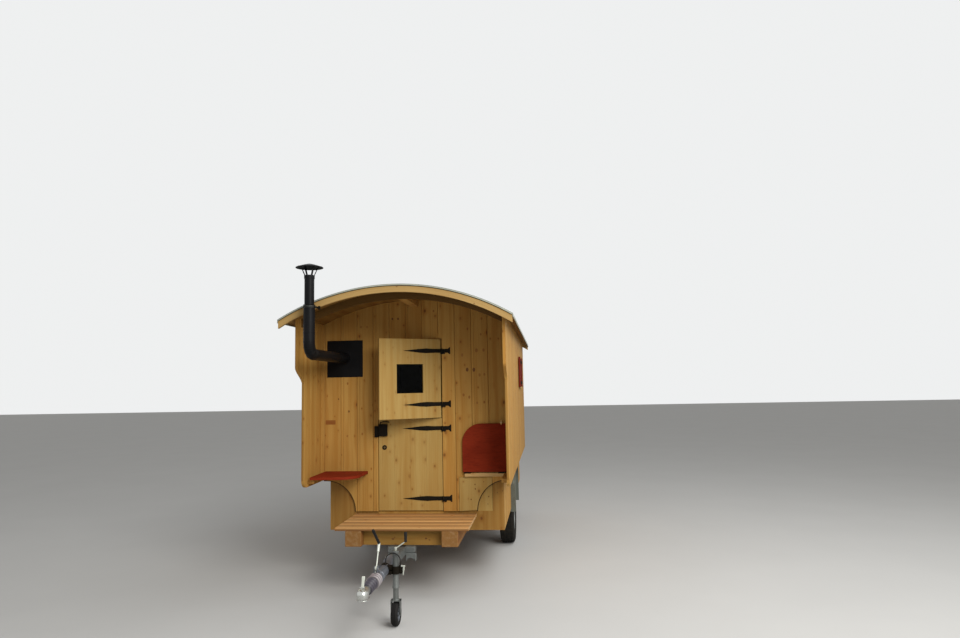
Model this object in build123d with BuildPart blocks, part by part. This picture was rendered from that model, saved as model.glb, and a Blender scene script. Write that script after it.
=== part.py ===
# Shepherd's hut: a small barrel-roofed living wagon of spruce on a single-axle braked trailer.
# Millimetres. +X is to the right of someone facing the door, +Y runs into the hut, +Z is up.
# The origin is on the ground under the middle of the whole vehicle.

import os
from math import cos, radians, sin

from build123d import *

os.makedirs("parts", exist_ok=True)


def block(x, y, z, mode=Mode.ADD):
    """Add a box to the open part between the low and high value of x, y and z."""
    middle = ((x[0] + x[1]) / 2, (y[0] + y[1]) / 2, (z[0] + z[1]) / 2)
    with Locations(middle):
        Box(x[1] - x[0], y[1] - y[0], z[1] - z[0], mode=mode)


def panel(x, y, low, mode=Mode.ADD):
    """Add an upright slab that reaches up to the underside of the roof boards."""
    with BuildSketch(Plane.XZ.offset(-y[1])) as outline:
        with Locations(((x[0] + x[1]) / 2, (low + roof_apex) / 2)):
            Rectangle(x[1] - x[0], roof_apex - low)
        with Locations((0, roof_centre_z)):
            Circle(soffit_radius - roof_gap, mode=Mode.INTERSECT)
    extrude(outline.sketch, amount=y[1] - y[0], mode=mode)


def arch(y, outer, inner, half_width):
    """Add a curved piece between two radii of the roof, as wide as the given half width each way."""
    with BuildSketch(Plane.XZ.offset(-y[1])) as outline:
        with Locations((0, roof_centre_z)):
            Circle(outer)
            Circle(inner, mode=Mode.SUBTRACT)
        with Locations((0, roof_apex)):
            Rectangle(2 * half_width, roof_radius, mode=Mode.INTERSECT)
    extrude(outline.sketch, amount=y[1] - y[0])


def seat_pins(side):
    """Add the fixed barrels and pins of one seat's two hinges to the cleat that is open."""
    for middle_x in seat_knuckle_x:
        with Locations((side * middle_x, seat_axis_y, seat_axis_z)):
            Cylinder(seat_knuckle_radius, seat_hinge_length, rotation=(0, 90, 0))
            Cylinder(seat_knuckle_radius + 1, seat_knuckle_length + 1, rotation=(0, 90, 0), mode=Mode.SUBTRACT)
            Cylinder(seat_pin_radius, seat_hinge_length, rotation=(0, 90, 0))


def seat_knuckles(side, link_y, link_z):
    """Add the barrels of one seat's two hinges to the seat that is open, each on a short link."""
    for middle_x in seat_knuckle_x:
        link_x = (side * middle_x - seat_knuckle_length / 2, side * middle_x + seat_knuckle_length / 2)
        block(link_x, link_y, link_z)
        with Locations((side * middle_x, seat_axis_y, seat_axis_z)):
            Cylinder(seat_knuckle_radius, seat_knuckle_length, rotation=(0, 90, 0))
            Cylinder(
                seat_pin_radius + pin_clearance,
                seat_knuckle_length + 2,
                rotation=(0, 90, 0),
                mode=Mode.SUBTRACT,
            )


# Where the hut stands: its length, its floor, and the front wall's face, which puts the whole in the middle
body_length = 4000
floor_z = 700
head_reach = 2220
roof_rear_reach = 120
sheet_overhang = 4
front = -(body_length + roof_rear_reach + sheet_overhang - head_reach) / 2
rear = front + body_length

# Lower body and the ledge over it, where the upper body steps out
lower_half_width = 948
lower_wall_thickness = 40
lower_inner = lower_half_width - lower_wall_thickness
ledge_overhang = 100
ledge_rise = 332
ledge_z = floor_z + ledge_rise
ledge_thickness = 25

# Sills and floor
sill_width = 160
sill_height = 150
sill_inset = 396
sill_outer = lower_half_width - sill_inset
sill_inner = sill_outer - sill_width
floor_thickness = 50
sill_top = floor_z - floor_thickness
sill_bottom = sill_top - sill_height
skirt_bottom = sill_bottom

# Deck in front of the door
deck_reach = 775
deck_overhang = 103
deck_half_width = sill_outer + deck_overhang
deck_thickness = 28
deck_front = front - deck_reach
deck_board_gap = 6
deck_board_count = 5
deck_pitch = (deck_reach + deck_board_gap) / deck_board_count
cross_plank_setback = 90
cross_plank_thickness = 45

# Upper body
upper_half_width = lower_half_width + ledge_overhang
wing_thickness = 28
wing_inner = upper_half_width - wing_thickness
core_thickness = 32
room_half_width = wing_inner - core_thickness
wall_thickness = 60
board_thickness = 20
arc_radius = 330
arc_edge = 30
arc_centre_x = wing_inner - arc_edge
board_bottom = floor_z

# Wings: the side walls run on in front of the front wall
wing_top_reach = 815
wing_reach = 625
ogee_rise = 1380
ogee_height = 160
ogee_bottom = floor_z + ogee_rise
ogee_top = ogee_bottom + ogee_height
wing_corner_radius = 95

# Roof
roof_radius = 2225
roof_rise = 2309
roof_apex = floor_z + roof_rise
roof_centre_z = roof_apex - roof_radius
eaves_overhang = 84
roof_half_width = upper_half_width + eaves_overhang
roof_front_reach = 1050
roof_front = front - roof_front_reach
roof_rear = rear + roof_rear_reach
sheet_thickness = 3
roof_board_thickness = 22
fascia_depth = 72
fascia_thickness = 30
sheet_inner = roof_radius - sheet_thickness
soffit_radius = sheet_inner - roof_board_thickness
fascia_inner = sheet_inner - fascia_depth
roof_gap = 0.5
rib_depth = 75
rib_thickness = 45
rib_setback = 330
purlin_width = 90
purlin_depth = 70

# Doorway and its two leaves
door_left = -410
door_right = 300
door_height = 1850
door_top = floor_z + door_height
leaf_gap = 7
leaf_thickness = 40
leaf_split_rise = 990
leaf_split = floor_z + leaf_split_rise
hinge_x = door_right - leaf_gap / 2
eye_radius = 9
hinge_y = front - eye_radius
leaf_width = hinge_x - door_left - leaf_gap
upper_leaf_angle = 31
pane_rise = 1262
pane_height = 310
pane_low = floor_z + pane_rise
pane_high = pane_low + pane_height
pane_near = 192
pane_wide = 298
pane_thickness = 6

# Strap hinges: a strap on the leaf, and a plate on the wall with the pin that the strap turns on
strap_length = 435
strap_height = 50
strap_thickness = 5
strap_root = 42
strap_rises = (135, 880, 1140, 1715)
strap_z = [floor_z + rise for rise in strap_rises]
pin_radius = 4.5
pin_clearance = 0.05
pin_seat_height = 12
pin_seat_gap = 0.3
wall_plate_reach = 98
wall_plate_end = 74
wall_plate_thickness = 4

# Lock
lock_width = 96
lock_height = 130
lock_depth = 26
lock_rise = 930
lock_top = floor_z + lock_rise

# Seats
seat_width = 470
seat_depth = 510
seat_thickness = 28
seat_corner = 200
seat_side_gap = 35
seat_rise = 405
seat_outer_x = wing_inner - seat_side_gap
seat_inner_x = seat_outer_x - seat_width
seat_axis_z = floor_z + seat_rise
seat_axis_offset = 8
cleat_depth = 32
cleat_height = 38
cleat_gap = 2
seat_axis_y = front - cleat_depth
cleat_z = (seat_axis_z - cleat_gap - cleat_height, seat_axis_z - cleat_gap)
seat_knuckle_radius = 7
seat_pin_radius = 3
seat_knuckle_inset = 50
seat_knuckle_x = (seat_inner_x + seat_knuckle_inset, seat_outer_x - seat_knuckle_inset)
seat_knuckle_length = 44
seat_hinge_length = 76
button_inset = 47
button_x = seat_outer_x - button_inset
button_z = seat_axis_z + seat_axis_offset + seat_depth + 14
batten_height = 40

# Locker hatch in the base on the right
hatch_size = 358
hatch_inset = 80
hatch_left = lower_inner - hatch_inset - hatch_size
hatch_low = floor_z
hatch_gap = 3
hatch_backing = 18

# Flue
plate_inset = 6
plate_width = 402
plate_height = 405
plate_rise = 1449
plate_left = plate_inset - room_half_width
plate_right = plate_left + plate_width
plate_low = floor_z + plate_rise
plate_high = plate_low + plate_height
plate_thickness = 3
flue_inset = 198
flue_x = plate_left + flue_inset
flue_rise = 1655
flue_z = floor_z + flue_rise
flue_reach = 108
flue_y = roof_front - flue_reach
flue_radius = 54
flue_wall = 2
flue_bend = 115
flue_wall_clearance = 8
flue_plate_clearance = 0.2
flue_inside = 40
flue_joint_rise = 2115
flue_joint_z = floor_z + flue_joint_rise
flue_upper_radius = 46
flue_upper_length = 287
flue_top = flue_joint_z + flue_upper_length
cap_radius = 136
cap_lift = 76
cap_rim = flue_top + cap_lift
cap_height = 38

# Side windows and their shutters
window_back = 2410
window_centre_y = front + window_back
window_half_width = 200
window_rise = 1304
window_height = 412
window_low = floor_z + window_rise
window_high = window_low + window_height
shutter_thickness = 22
shutter_gap = 6
window_frame_width = 45
side_pane_thickness = 6

# Trailer
axle_share = 0.44
axle_y = front + axle_share * body_length
tyre_radius = 345
tyre_width = 185
tyre_overhang = 27
tyre_outer = lower_half_width + tyre_overhang
rim_radius = 195
axle_z = tyre_radius
axle_size = 80
spindle_radius = 22
guard_clearance = 30
guard_outer = tyre_outer + guard_clearance
guard_inner = tyre_outer - tyre_width - 38
guard_half_length = 440
guard_front = axle_y - guard_half_length
guard_rear = axle_y + guard_half_length
guard_rise = 240
guard_low = floor_z - guard_rise
guard_top = floor_z + guard_rise
guard_corner = 190
guard_sheet = 3

# Hitch
drawbar_size = 80
drawbar_top = sill_bottom
drawbar_reach = 1150
drawbar_front = front - drawbar_reach
bracket_width = 264
bracket_depth = 60
bracket_height = 135
bracket_front = deck_front + 20
housing_radius = 46
hitch_drop = 235
hitch_z = floor_z - hitch_drop
head_length = 220
head_front = front - head_reach
head_back = head_front + head_length
bellows_length = 140
housing_front = head_back + bellows_length
ball_radius = 25.2
ball_y = head_front + 60
ball_z = hitch_z - 22
lever_x = 0
lever_y = housing_front + 120
lever_z = hitch_z + 82
lever_pin_radius = 6
lever_rod = 212
lever_grip = 250
ear_x = (lever_x - 9, lever_x + 9)
jockey_x = 98
jockey_setback = 300
jockey_y = drawbar_front - jockey_setback
jockey_radius = 30
jockey_wheel_radius = 100
jockey_wheel_width = 60
jockey_low = 2 * jockey_wheel_radius + 16
jockey_top = sill_bottom + 125
clamp_reach = 62
clamp_half_height = 32
crank_spindle_radius = 9
crank_reach = 88
crank_rise = 60
crank_grip = 86
cable_radius = 4.5
cable_y = jockey_y - jockey_radius - 8
cable_start_x = 18
cable_rise = 100
cable_end_x = jockey_x + clamp_reach - 14


# Floor of the hut, notched round the two wheel housings
floor_y = (front + wall_thickness, rear - wall_thickness)
notch_y = (guard_front, guard_rear)
notch_x = guard_inner
with BuildPart() as floor:
    block((-lower_inner, lower_inner), floor_y, (sill_top, floor_z))
    block((notch_x, lower_inner + 1), notch_y, (sill_top - 1, floor_z + 1), Mode.SUBTRACT)
    block((-lower_inner - 1, -notch_x), notch_y, (sill_top - 1, floor_z + 1), Mode.SUBTRACT)

# Two long sills that carry the floor and run on under the deck
with BuildPart() as sill_left:
    block((-sill_outer, -sill_inner), (deck_front, rear - wall_thickness), (sill_bottom, sill_top))
with BuildPart() as sill_right:
    block((sill_inner, sill_outer), (deck_front, rear - wall_thickness), (sill_bottom, sill_top))

# Plank across between the sills under the deck
plank_y = deck_front + cross_plank_setback
with BuildPart() as cross_plank:
    block((-sill_inner, sill_inner), (plank_y, plank_y + cross_plank_thickness), (sill_bottom, sill_top))

# Deck: boards side by side on a thin web that stands for their cleats
with BuildPart() as deck:
    block((-deck_half_width, deck_half_width), (deck_front, front), (sill_top, sill_top + deck_thickness))
    for number in range(1, deck_board_count):
        gap_y = deck_front + number * deck_pitch - deck_board_gap
        gap_z = (sill_top + 8, sill_top + deck_thickness + 1)
        block((-deck_half_width - 1, deck_half_width + 1), (gap_y, gap_y + deck_board_gap), gap_z, Mode.SUBTRACT)

# Front wall left of the door: a core, boards in front of it that end in a quarter circle,
# a hole for the flue, and the cleat that the seat hinges on
board_y = (front, front + board_thickness)
core_y = (front + board_thickness, front + wall_thickness)
with BuildPart() as front_wall_left:
    block((-lower_half_width, door_left), core_y, (skirt_bottom, ledge_z + 1))
    panel((-room_half_width, door_left), core_y, ledge_z)
    panel((-wing_inner, door_left), board_y, board_bottom)
    with BuildSketch(Plane.XZ.offset(-board_y[1])):
        with Locations((-arc_centre_x, board_bottom)):
            Circle(arc_radius)
    extrude(amount=board_thickness + 1, mode=Mode.SUBTRACT)
    block((-wing_inner - 1, -arc_centre_x), (front - 1, board_y[1]), (board_bottom - 1, ledge_z), Mode.SUBTRACT)
    block((-wing_inner - 1, -lower_half_width), (front - 1, core_y[1] + 1), (skirt_bottom, ledge_z), Mode.SUBTRACT)
    sill_cut = (sill_bottom - 60, sill_top)
    block((-sill_outer, -sill_inner), (front - 1, core_y[1] + 1), sill_cut, Mode.SUBTRACT)
    with Locations((flue_x, front + wall_thickness / 2, flue_z)):
        Cylinder(flue_radius + flue_wall_clearance, wall_thickness + 2, rotation=(90, 0, 0), mode=Mode.SUBTRACT)
    block((-seat_outer_x, -seat_inner_x), (front - cleat_depth, front), cleat_z)
    seat_pins(-1)

# Front wall right of the door, with the locker hatch cut through it, the seat's cleat
# and the turn button that holds the folded seat
hatch_x = (hatch_left, hatch_left + hatch_size)
hatch_z = (hatch_low, hatch_low + hatch_size)
with BuildPart() as front_wall_right:
    block((door_right, lower_half_width), core_y, (skirt_bottom, ledge_z + 1))
    panel((door_right, room_half_width), core_y, ledge_z)
    panel((door_right, wing_inner), board_y, board_bottom)
    with BuildSketch(Plane.XZ.offset(-board_y[1])):
        with Locations((arc_centre_x, board_bottom)):
            Circle(arc_radius)
    extrude(amount=board_thickness + 1, mode=Mode.SUBTRACT)
    block((arc_centre_x, wing_inner + 1), (front - 1, board_y[1]), (board_bottom - 1, ledge_z), Mode.SUBTRACT)
    block((lower_half_width, wing_inner + 1), (front - 1, core_y[1] + 1), (skirt_bottom, ledge_z), Mode.SUBTRACT)
    block(hatch_x, (front - 1, core_y[1] + 1), hatch_z, Mode.SUBTRACT)
    block((sill_inner, sill_outer), (front - 1, core_y[1] + 1), sill_cut, Mode.SUBTRACT)
    block((seat_inner_x, seat_outer_x), (front - cleat_depth, front), cleat_z)
    seat_pins(1)
    block((button_x - 8, button_x + 8), (front - 34, front), (button_z - 8, button_z + 8))
    block((button_x - 12, button_x + 12), (front - 46, front - 34), (button_z - 26, button_z + 26))

# Front wall over the door, and the piece under it that the deck meets
with BuildPart() as front_wall_over_door:
    panel((door_left, door_right), (front, core_y[1]), door_top)
with BuildPart() as front_wall_under_door:
    block((door_left, door_right), core_y, (skirt_bottom, floor_z))
    block((-sill_outer, -sill_inner), (front - 1, core_y[1] + 1), sill_cut, Mode.SUBTRACT)

# Side walls: thin boards that run on as wings, with a thicker core behind the front wall,
# the window's frame, and a batten on the wing that holds up the seat's outer edge
window_y = (window_centre_y - window_half_width, window_centre_y + window_half_width)
window_z = (window_low, window_high)
inner_y = (window_y[0] + window_frame_width, window_y[1] - window_frame_width)
inner_z = (window_z[0] + window_frame_width, window_z[1] - window_frame_width)
with BuildPart() as side_wall_right:
    with BuildSketch(Plane.YZ.offset(wing_inner)):
        with BuildLine():
            Polyline(
                (front - wing_top_reach, roof_apex),
                (front - wing_top_reach, ogee_top),
            )
            Spline(
                (front - wing_top_reach, ogee_top),
                (front - (wing_top_reach + wing_reach) / 2, (ogee_top + ogee_bottom) / 2),
                (front - wing_reach, ogee_bottom),
                tangents=((0, -1), (0, -1)),
            )
            Line((front - wing_reach, ogee_bottom), (front - wing_reach, ledge_z + wing_corner_radius))
            RadiusArc(
                (front - wing_reach, ledge_z + wing_corner_radius),
                (front - wing_reach + wing_corner_radius, ledge_z),
                -wing_corner_radius,
            )
            Polyline(
                (front - wing_reach + wing_corner_radius, ledge_z),
                (rear, ledge_z),
                (rear, roof_apex),
                (front - wing_top_reach, roof_apex),
            )
        make_face()
    extrude(amount=wing_thickness)
    core_x = (room_half_width, wing_inner)
    block(core_x, (front + wall_thickness, rear - wall_thickness), (ledge_z, roof_apex))
    ledge_x = (lower_inner, wing_inner)
    block(ledge_x, (front + wall_thickness, rear - wall_thickness), (ledge_z, ledge_z + ledge_thickness))
    block((room_half_width - 1, upper_half_width + 1), inner_y, inner_z, Mode.SUBTRACT)
    with BuildSketch(Plane.XZ.offset(-rear - 1)):
        with Locations((0, roof_centre_z)):
            Circle(soffit_radius - roof_gap)
    extrude(amount=rear - roof_front + 1, mode=Mode.INTERSECT)
    batten_z = (seat_axis_z - 1 - batten_height, seat_axis_z - 1)
    block((seat_outer_x - 25, wing_inner + 1), (front - 500, front - cleat_depth - 20), batten_z)
with BuildPart() as side_wall_left:
    add(mirror(side_wall_right.part, about=Plane.YZ, mode=Mode.PRIVATE))

# Lower walls, set in under the ledge, with an arch that fits each wheel housing
with BuildPart() as arch_shape:
    block((lower_inner - 1, lower_half_width + 1), notch_y, (skirt_bottom - 1, guard_top))
    fillet(arch_shape.edges().filter_by(Axis.X).group_by(Axis.Z)[-1], guard_corner)
with BuildPart() as lower_wall_right:
    block((lower_inner, lower_half_width), floor_y, (skirt_bottom, ledge_z))
    add(arch_shape.part, mode=Mode.SUBTRACT)
with BuildPart() as lower_wall_left:
    add(mirror(lower_wall_right.part, about=Plane.YZ, mode=Mode.PRIVATE))

# Rear wall
with BuildPart() as rear_wall:
    rear_y = (rear - wall_thickness, rear)
    panel((-wing_inner, wing_inner), rear_y, ledge_z)
    block((-lower_half_width, lower_half_width), rear_y, (skirt_bottom, ledge_z + 1))

# Roof: curved boards, a thin metal sheet over them, an arched fascia at each end
with BuildPart() as roof_boards:
    arch((roof_front + fascia_thickness, roof_rear - fascia_thickness), sheet_inner, soffit_radius, roof_half_width)
with BuildPart() as roof_sheet:
    sheet_y = (roof_front - sheet_overhang, roof_rear + sheet_overhang)
    arch(sheet_y, roof_radius, sheet_inner, roof_half_width + sheet_overhang)
with BuildPart() as fascia_front:
    arch((roof_front, roof_front + fascia_thickness), sheet_inner, fascia_inner, roof_half_width)
with BuildPart() as fascia_rear:
    arch((roof_rear - fascia_thickness, roof_rear), sheet_inner, fascia_inner, roof_half_width)

# Arched rib between the wings under the roof boards, and the ridge purlin behind it
rib_y = (roof_front + rib_setback, roof_front + rib_setback + rib_thickness)
with BuildPart() as arch_rib:
    arch(rib_y, soffit_radius - roof_gap, soffit_radius - rib_depth, wing_inner)
with BuildPart() as ridge_purlin:
    purlin_z = (roof_centre_z + soffit_radius - purlin_depth, roof_apex)
    block((-purlin_width / 2, purlin_width / 2), (rib_y[1], front), purlin_z)
    with BuildSketch(Plane.XZ.offset(-front)):
        with Locations((0, roof_centre_z)):
            Circle(soffit_radius - roof_gap)
    extrude(amount=front - rib_y[1], mode=Mode.INTERSECT)

# Lower leaf of the door, closed: it turns on the pins of the two lower straps
leaf_x = (door_left + leaf_gap, hinge_x - leaf_gap / 2)
leaf_y = (front, front + leaf_thickness)
with BuildPart() as door_lower:
    block(leaf_x, leaf_y, (floor_z + leaf_gap, leaf_split - leaf_gap / 2))

# Upper leaf, standing ajar, in the hinge's own plane: x runs to the free edge, y faces out
swing = radians(upper_leaf_angle)
hinge_plane = Plane(origin=(hinge_x, hinge_y, 0), x_dir=(-cos(swing), -sin(swing), 0), z_dir=(0, 0, 1))
leaf_depth = (hinge_y - front - leaf_thickness, hinge_y - front)
pane_x = (leaf_width - pane_wide - pane_near, leaf_width - pane_near)
with BuildPart(hinge_plane) as door_upper:
    block((leaf_gap / 2, leaf_width), leaf_depth, (leaf_split + leaf_gap / 2, door_top - leaf_gap))
    block(pane_x, (leaf_depth[0] - 1, leaf_depth[1] + 1), (pane_low, pane_high), Mode.SUBTRACT)
with BuildPart(hinge_plane) as door_pane:
    pane_y = (leaf_depth[0] + 14, leaf_depth[0] + 14 + pane_thickness)
    block(pane_x, pane_y, (pane_low, pane_high))

# Four strap hinges, each a pointed strap that ends in the bored knuckle it turns with
closed_plane = Plane(origin=(hinge_x, hinge_y, 0), x_dir=(-1, 0, 0), z_dir=(0, 0, 1))
strap_outer_y = strap_thickness - eye_radius


def strap(hinge, z):
    """Add one pointed strap and its knuckle at height z, on the leaf that turns in the given plane."""
    outer_face = hinge.from_local_coords(Vector(0, strap_outer_y, 0))
    with BuildSketch(Plane(origin=outer_face, x_dir=hinge.x_dir, z_dir=-hinge.y_dir)) as outline:
        with Locations((0, z)):
            Polygon(
                (0, -strap_root / 2),
                (strap_length * 0.2, -strap_root / 2),
                (strap_length * 0.39, -strap_height / 2),
                (strap_length * 0.56, -strap_height * 0.42),
                (strap_length * 0.78, -strap_height * 0.2),
                (strap_length, 0),
                (strap_length * 0.78, strap_height * 0.2),
                (strap_length * 0.56, strap_height * 0.42),
                (strap_length * 0.39, strap_height / 2),
                (strap_length * 0.2, strap_root / 2),
                (0, strap_root / 2),
                align=None,
            )
    extrude(outline.sketch, amount=strap_thickness)
    with Locations((hinge_x, hinge_y, z)):
        Cylinder(eye_radius, strap_root)
        Cylinder(pin_radius + pin_clearance, strap_root + 2, mode=Mode.SUBTRACT)


with BuildPart() as strap_lower_bottom:
    strap(closed_plane, strap_z[0])
with BuildPart() as strap_lower_top:
    strap(closed_plane, strap_z[1])
with BuildPart() as strap_upper_bottom:
    strap(hinge_plane, strap_z[2])
with BuildPart() as strap_upper_top:
    strap(hinge_plane, strap_z[3])

# The wall's half of the four hinges: a flared plate, an arm with a seat under the knuckle, and the pin
plate_start = hinge_x + eye_radius + 1
plate_end = hinge_x + wall_plate_reach
with BuildPart() as hinge_plates:
    for z in strap_z:
        with BuildSketch(Plane.XZ.offset(-front)) as outline:
            with Locations((0, z)):
                Polygon(
                    (plate_start, -strap_root / 2),
                    (plate_end - 26, -strap_root / 2),
                    (plate_end - 10, -wall_plate_end / 2),
                    (plate_end, -wall_plate_end / 2),
                    (plate_end, wall_plate_end / 2),
                    (plate_end - 10, wall_plate_end / 2),
                    (plate_end - 26, strap_root / 2),
                    (plate_start, strap_root / 2),
                    align=None,
                )
        extrude(outline.sketch, amount=wall_plate_thickness)
        seat_top = z - strap_root / 2 - pin_seat_gap
        seat_low = seat_top - pin_seat_height
        block((hinge_x, plate_start + 30), (hinge_y - eye_radius / 2, front), (seat_low, seat_top))
        block((plate_start, plate_start + 30), (hinge_y, front), (seat_low, z))
        with Locations((hinge_x, hinge_y, (seat_low + seat_top) / 2)):
            Cylinder(eye_radius, pin_seat_height)
        with Locations((hinge_x, hinge_y, (seat_low + z + strap_root / 2) / 2)):
            Cylinder(pin_radius, z + strap_root / 2 - seat_low + 6)

# Rim lock with its handle on the lower leaf
lock_x = (leaf_x[0], leaf_x[0] + lock_width)
lock_y = (front - lock_depth, front)
with BuildPart() as lock:
    block(lock_x, lock_y, (lock_top - lock_height, lock_top))
    block((lock_x[0] + 16, lock_x[0] + 28), (lock_y[0] - 14, lock_y[0] + 6), (lock_top - 20, lock_top + 34))
    block((lock_x[0] + 16, lock_x[0] + 122), (lock_y[0] - 14, lock_y[0] - 2), (lock_top + 22, lock_top + 34))

# Two folding seats: the left one is down, the right one is folded up against the wall
seat_x = (seat_inner_x, seat_outer_x)
with BuildPart() as seat_left:
    seat_y = (seat_axis_y - seat_axis_offset - seat_depth, seat_axis_y - seat_axis_offset)
    block((-seat_outer_x, -seat_inner_x), seat_y, (seat_axis_z, seat_axis_z + seat_thickness))
    fillet(seat_left.edges().filter_by(Axis.Z).group_by(Axis.Y)[0].sort_by(Axis.X)[-1], seat_corner)
    seat_knuckles(-1, (seat_y[1] - 2, seat_axis_y), (seat_axis_z, seat_axis_z + 5))
with BuildPart() as seat_right:
    folded_z = (seat_axis_z + seat_axis_offset, seat_axis_z + seat_axis_offset + seat_depth)
    block(seat_x, (seat_axis_y, seat_axis_y + seat_thickness), folded_z)
    fillet(seat_right.edges().filter_by(Axis.Y).group_by(Axis.Z)[-1].sort_by(Axis.X)[0], seat_corner)
    seat_knuckles(1, (seat_axis_y, seat_axis_y + 5), (seat_axis_z, folded_z[0] + 2))

# Locker hatch: its front follows the boards and the base panel round the quarter circle
with BuildPart() as hatch:
    panel_x = (hatch_x[0] + hatch_gap, hatch_x[1] - hatch_gap)
    panel_z = (hatch_z[0], hatch_z[1] - hatch_gap)
    block(panel_x, (front, front + board_thickness + hatch_backing), panel_z)
    with BuildSketch(Plane.XZ.offset(-board_y[1])):
        with Locations((arc_centre_x, board_bottom)):
            Circle(arc_radius)
    extrude(amount=board_thickness + 1, mode=Mode.SUBTRACT)

# Steel plate on the wall, and the flue that comes from the room through both and turns up
flue_end = front + wall_thickness + flue_inside
with BuildPart() as flue_plate:
    block((plate_left, plate_right), (front - plate_thickness, front), (plate_low, plate_high))
    with Locations((flue_x, front, flue_z)):
        Cylinder(flue_radius + flue_plate_clearance, 4 * plate_thickness, rotation=(90, 0, 0), mode=Mode.SUBTRACT)
with BuildPart() as flue_pipe:
    with BuildLine(Plane.YZ.offset(flue_x)) as flue_line:
        Line((flue_end, flue_z), (flue_y + flue_bend, flue_z))
        RadiusArc((flue_y + flue_bend, flue_z), (flue_y, flue_z + flue_bend), flue_bend)
        Line((flue_y, flue_z + flue_bend), (flue_y, flue_joint_z))
    with BuildSketch(Plane.XZ.offset(-flue_end)):
        with Locations((flue_x, flue_z)):
            Circle(flue_radius)
            Circle(flue_radius - flue_wall, mode=Mode.SUBTRACT)
    sweep(path=flue_line.line)
    with Locations((flue_x, flue_y, flue_joint_z - 13)):
        Cylinder(flue_radius - flue_wall / 2, 26)
    with Locations((flue_x, flue_y, (flue_joint_z - 26 + flue_top) / 2)):
        Cylinder(flue_upper_radius, flue_top - flue_joint_z + 26)
        Cylinder(flue_upper_radius - flue_wall, flue_top - flue_joint_z + 28, mode=Mode.SUBTRACT)

# Clamp round the flue, held to the front fascia
with BuildPart() as flue_clamp:
    clamp_z = flue_joint_z - 14
    with Locations((flue_x, flue_y, clamp_z)):
        Cylinder(flue_radius + 4, 22)
    block((flue_x + 30, flue_x + 75), (flue_y + 10, roof_front), (clamp_z - 11, clamp_z + 11))
    with Locations((flue_x, flue_y, clamp_z)):
        Cylinder(flue_radius + 0.2, 24, mode=Mode.SUBTRACT)

# Rain cap on four struts
with BuildPart() as flue_cap:
    with BuildSketch(Plane(origin=(flue_x, flue_y, 0), x_dir=(1, 0, 0), z_dir=(0, -1, 0))):
        Polygon(
            (0, cap_rim + cap_height),
            (cap_radius, cap_rim),
            (cap_radius, cap_rim - 3),
            (0, cap_rim + cap_height - 5),
            align=None,
        )
    revolve(axis=Axis((flue_x, flue_y, 0), (0, 0, 1)))
    for turn in (45, 135, 225, 315):
        strut_x = flue_x + (flue_upper_radius + 3) * cos(radians(turn))
        strut_y = flue_y + (flue_upper_radius + 3) * sin(radians(turn))
        block((strut_x - 5, strut_x + 5), (strut_y - 5, strut_y + 5), (flue_top - 30, cap_rim + 22))
    with Locations((flue_x, flue_y, flue_top - 20)):
        Cylinder(flue_upper_radius + 3, 20)
    with Locations((flue_x, flue_y, (flue_top - 40 + cap_rim) / 2)):
        Cylinder(flue_upper_radius + 0.2, cap_rim - flue_top + 40, mode=Mode.SUBTRACT)

# Side windows: a fixed pane in each frame, and a pair of shutters open flat against the wall
pane_middle = (room_half_width + upper_half_width) / 2
with BuildPart() as window_pane_right:
    block((pane_middle - side_pane_thickness / 2, pane_middle + side_pane_thickness / 2), inner_y, inner_z)
with BuildPart() as window_pane_left:
    add(mirror(window_pane_right.part, about=Plane.YZ, mode=Mode.PRIVATE))
shutter_x = (upper_half_width + shutter_gap, upper_half_width + shutter_gap + shutter_thickness)
with BuildPart() as shutter_right_front:
    block(shutter_x, (window_y[0] - 6 - window_half_width, window_y[0] - 6), window_z)
    block((upper_half_width, shutter_x[1]), (window_y[0] - 30, window_y[0] - 6), (window_z[0] + 40, window_z[0] + 80))
    block((upper_half_width, shutter_x[1]), (window_y[0] - 30, window_y[0] - 6), (window_z[1] - 80, window_z[1] - 40))
with BuildPart() as shutter_right_rear:
    add(mirror(shutter_right_front.part, about=Plane.XZ.offset(-window_centre_y), mode=Mode.PRIVATE))
with BuildPart() as shutter_left_front:
    add(mirror(shutter_right_front.part, about=Plane.YZ, mode=Mode.PRIVATE))
with BuildPart() as shutter_left_rear:
    add(mirror(shutter_right_rear.part, about=Plane.YZ, mode=Mode.PRIVATE))

# Axle: a beam with a bracket up to each sill, and a spindle at each end
with BuildPart() as axle:
    block((-720, 720), (axle_y - axle_size / 2, axle_y + axle_size / 2), (axle_z - axle_size / 2, axle_z + axle_size / 2))
    for side in (-1, 1):
        bracket_x = sorted((side * (sill_inner + 20), side * (sill_outer - 20)))
        block(bracket_x, (axle_y - 70, axle_y + 70), (axle_z + axle_size / 2 - 1, sill_bottom))
    with Locations((0, axle_y, axle_z)):
        Cylinder(spindle_radius, 2 * (tyre_outer - 60), rotation=(0, 90, 0))

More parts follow.
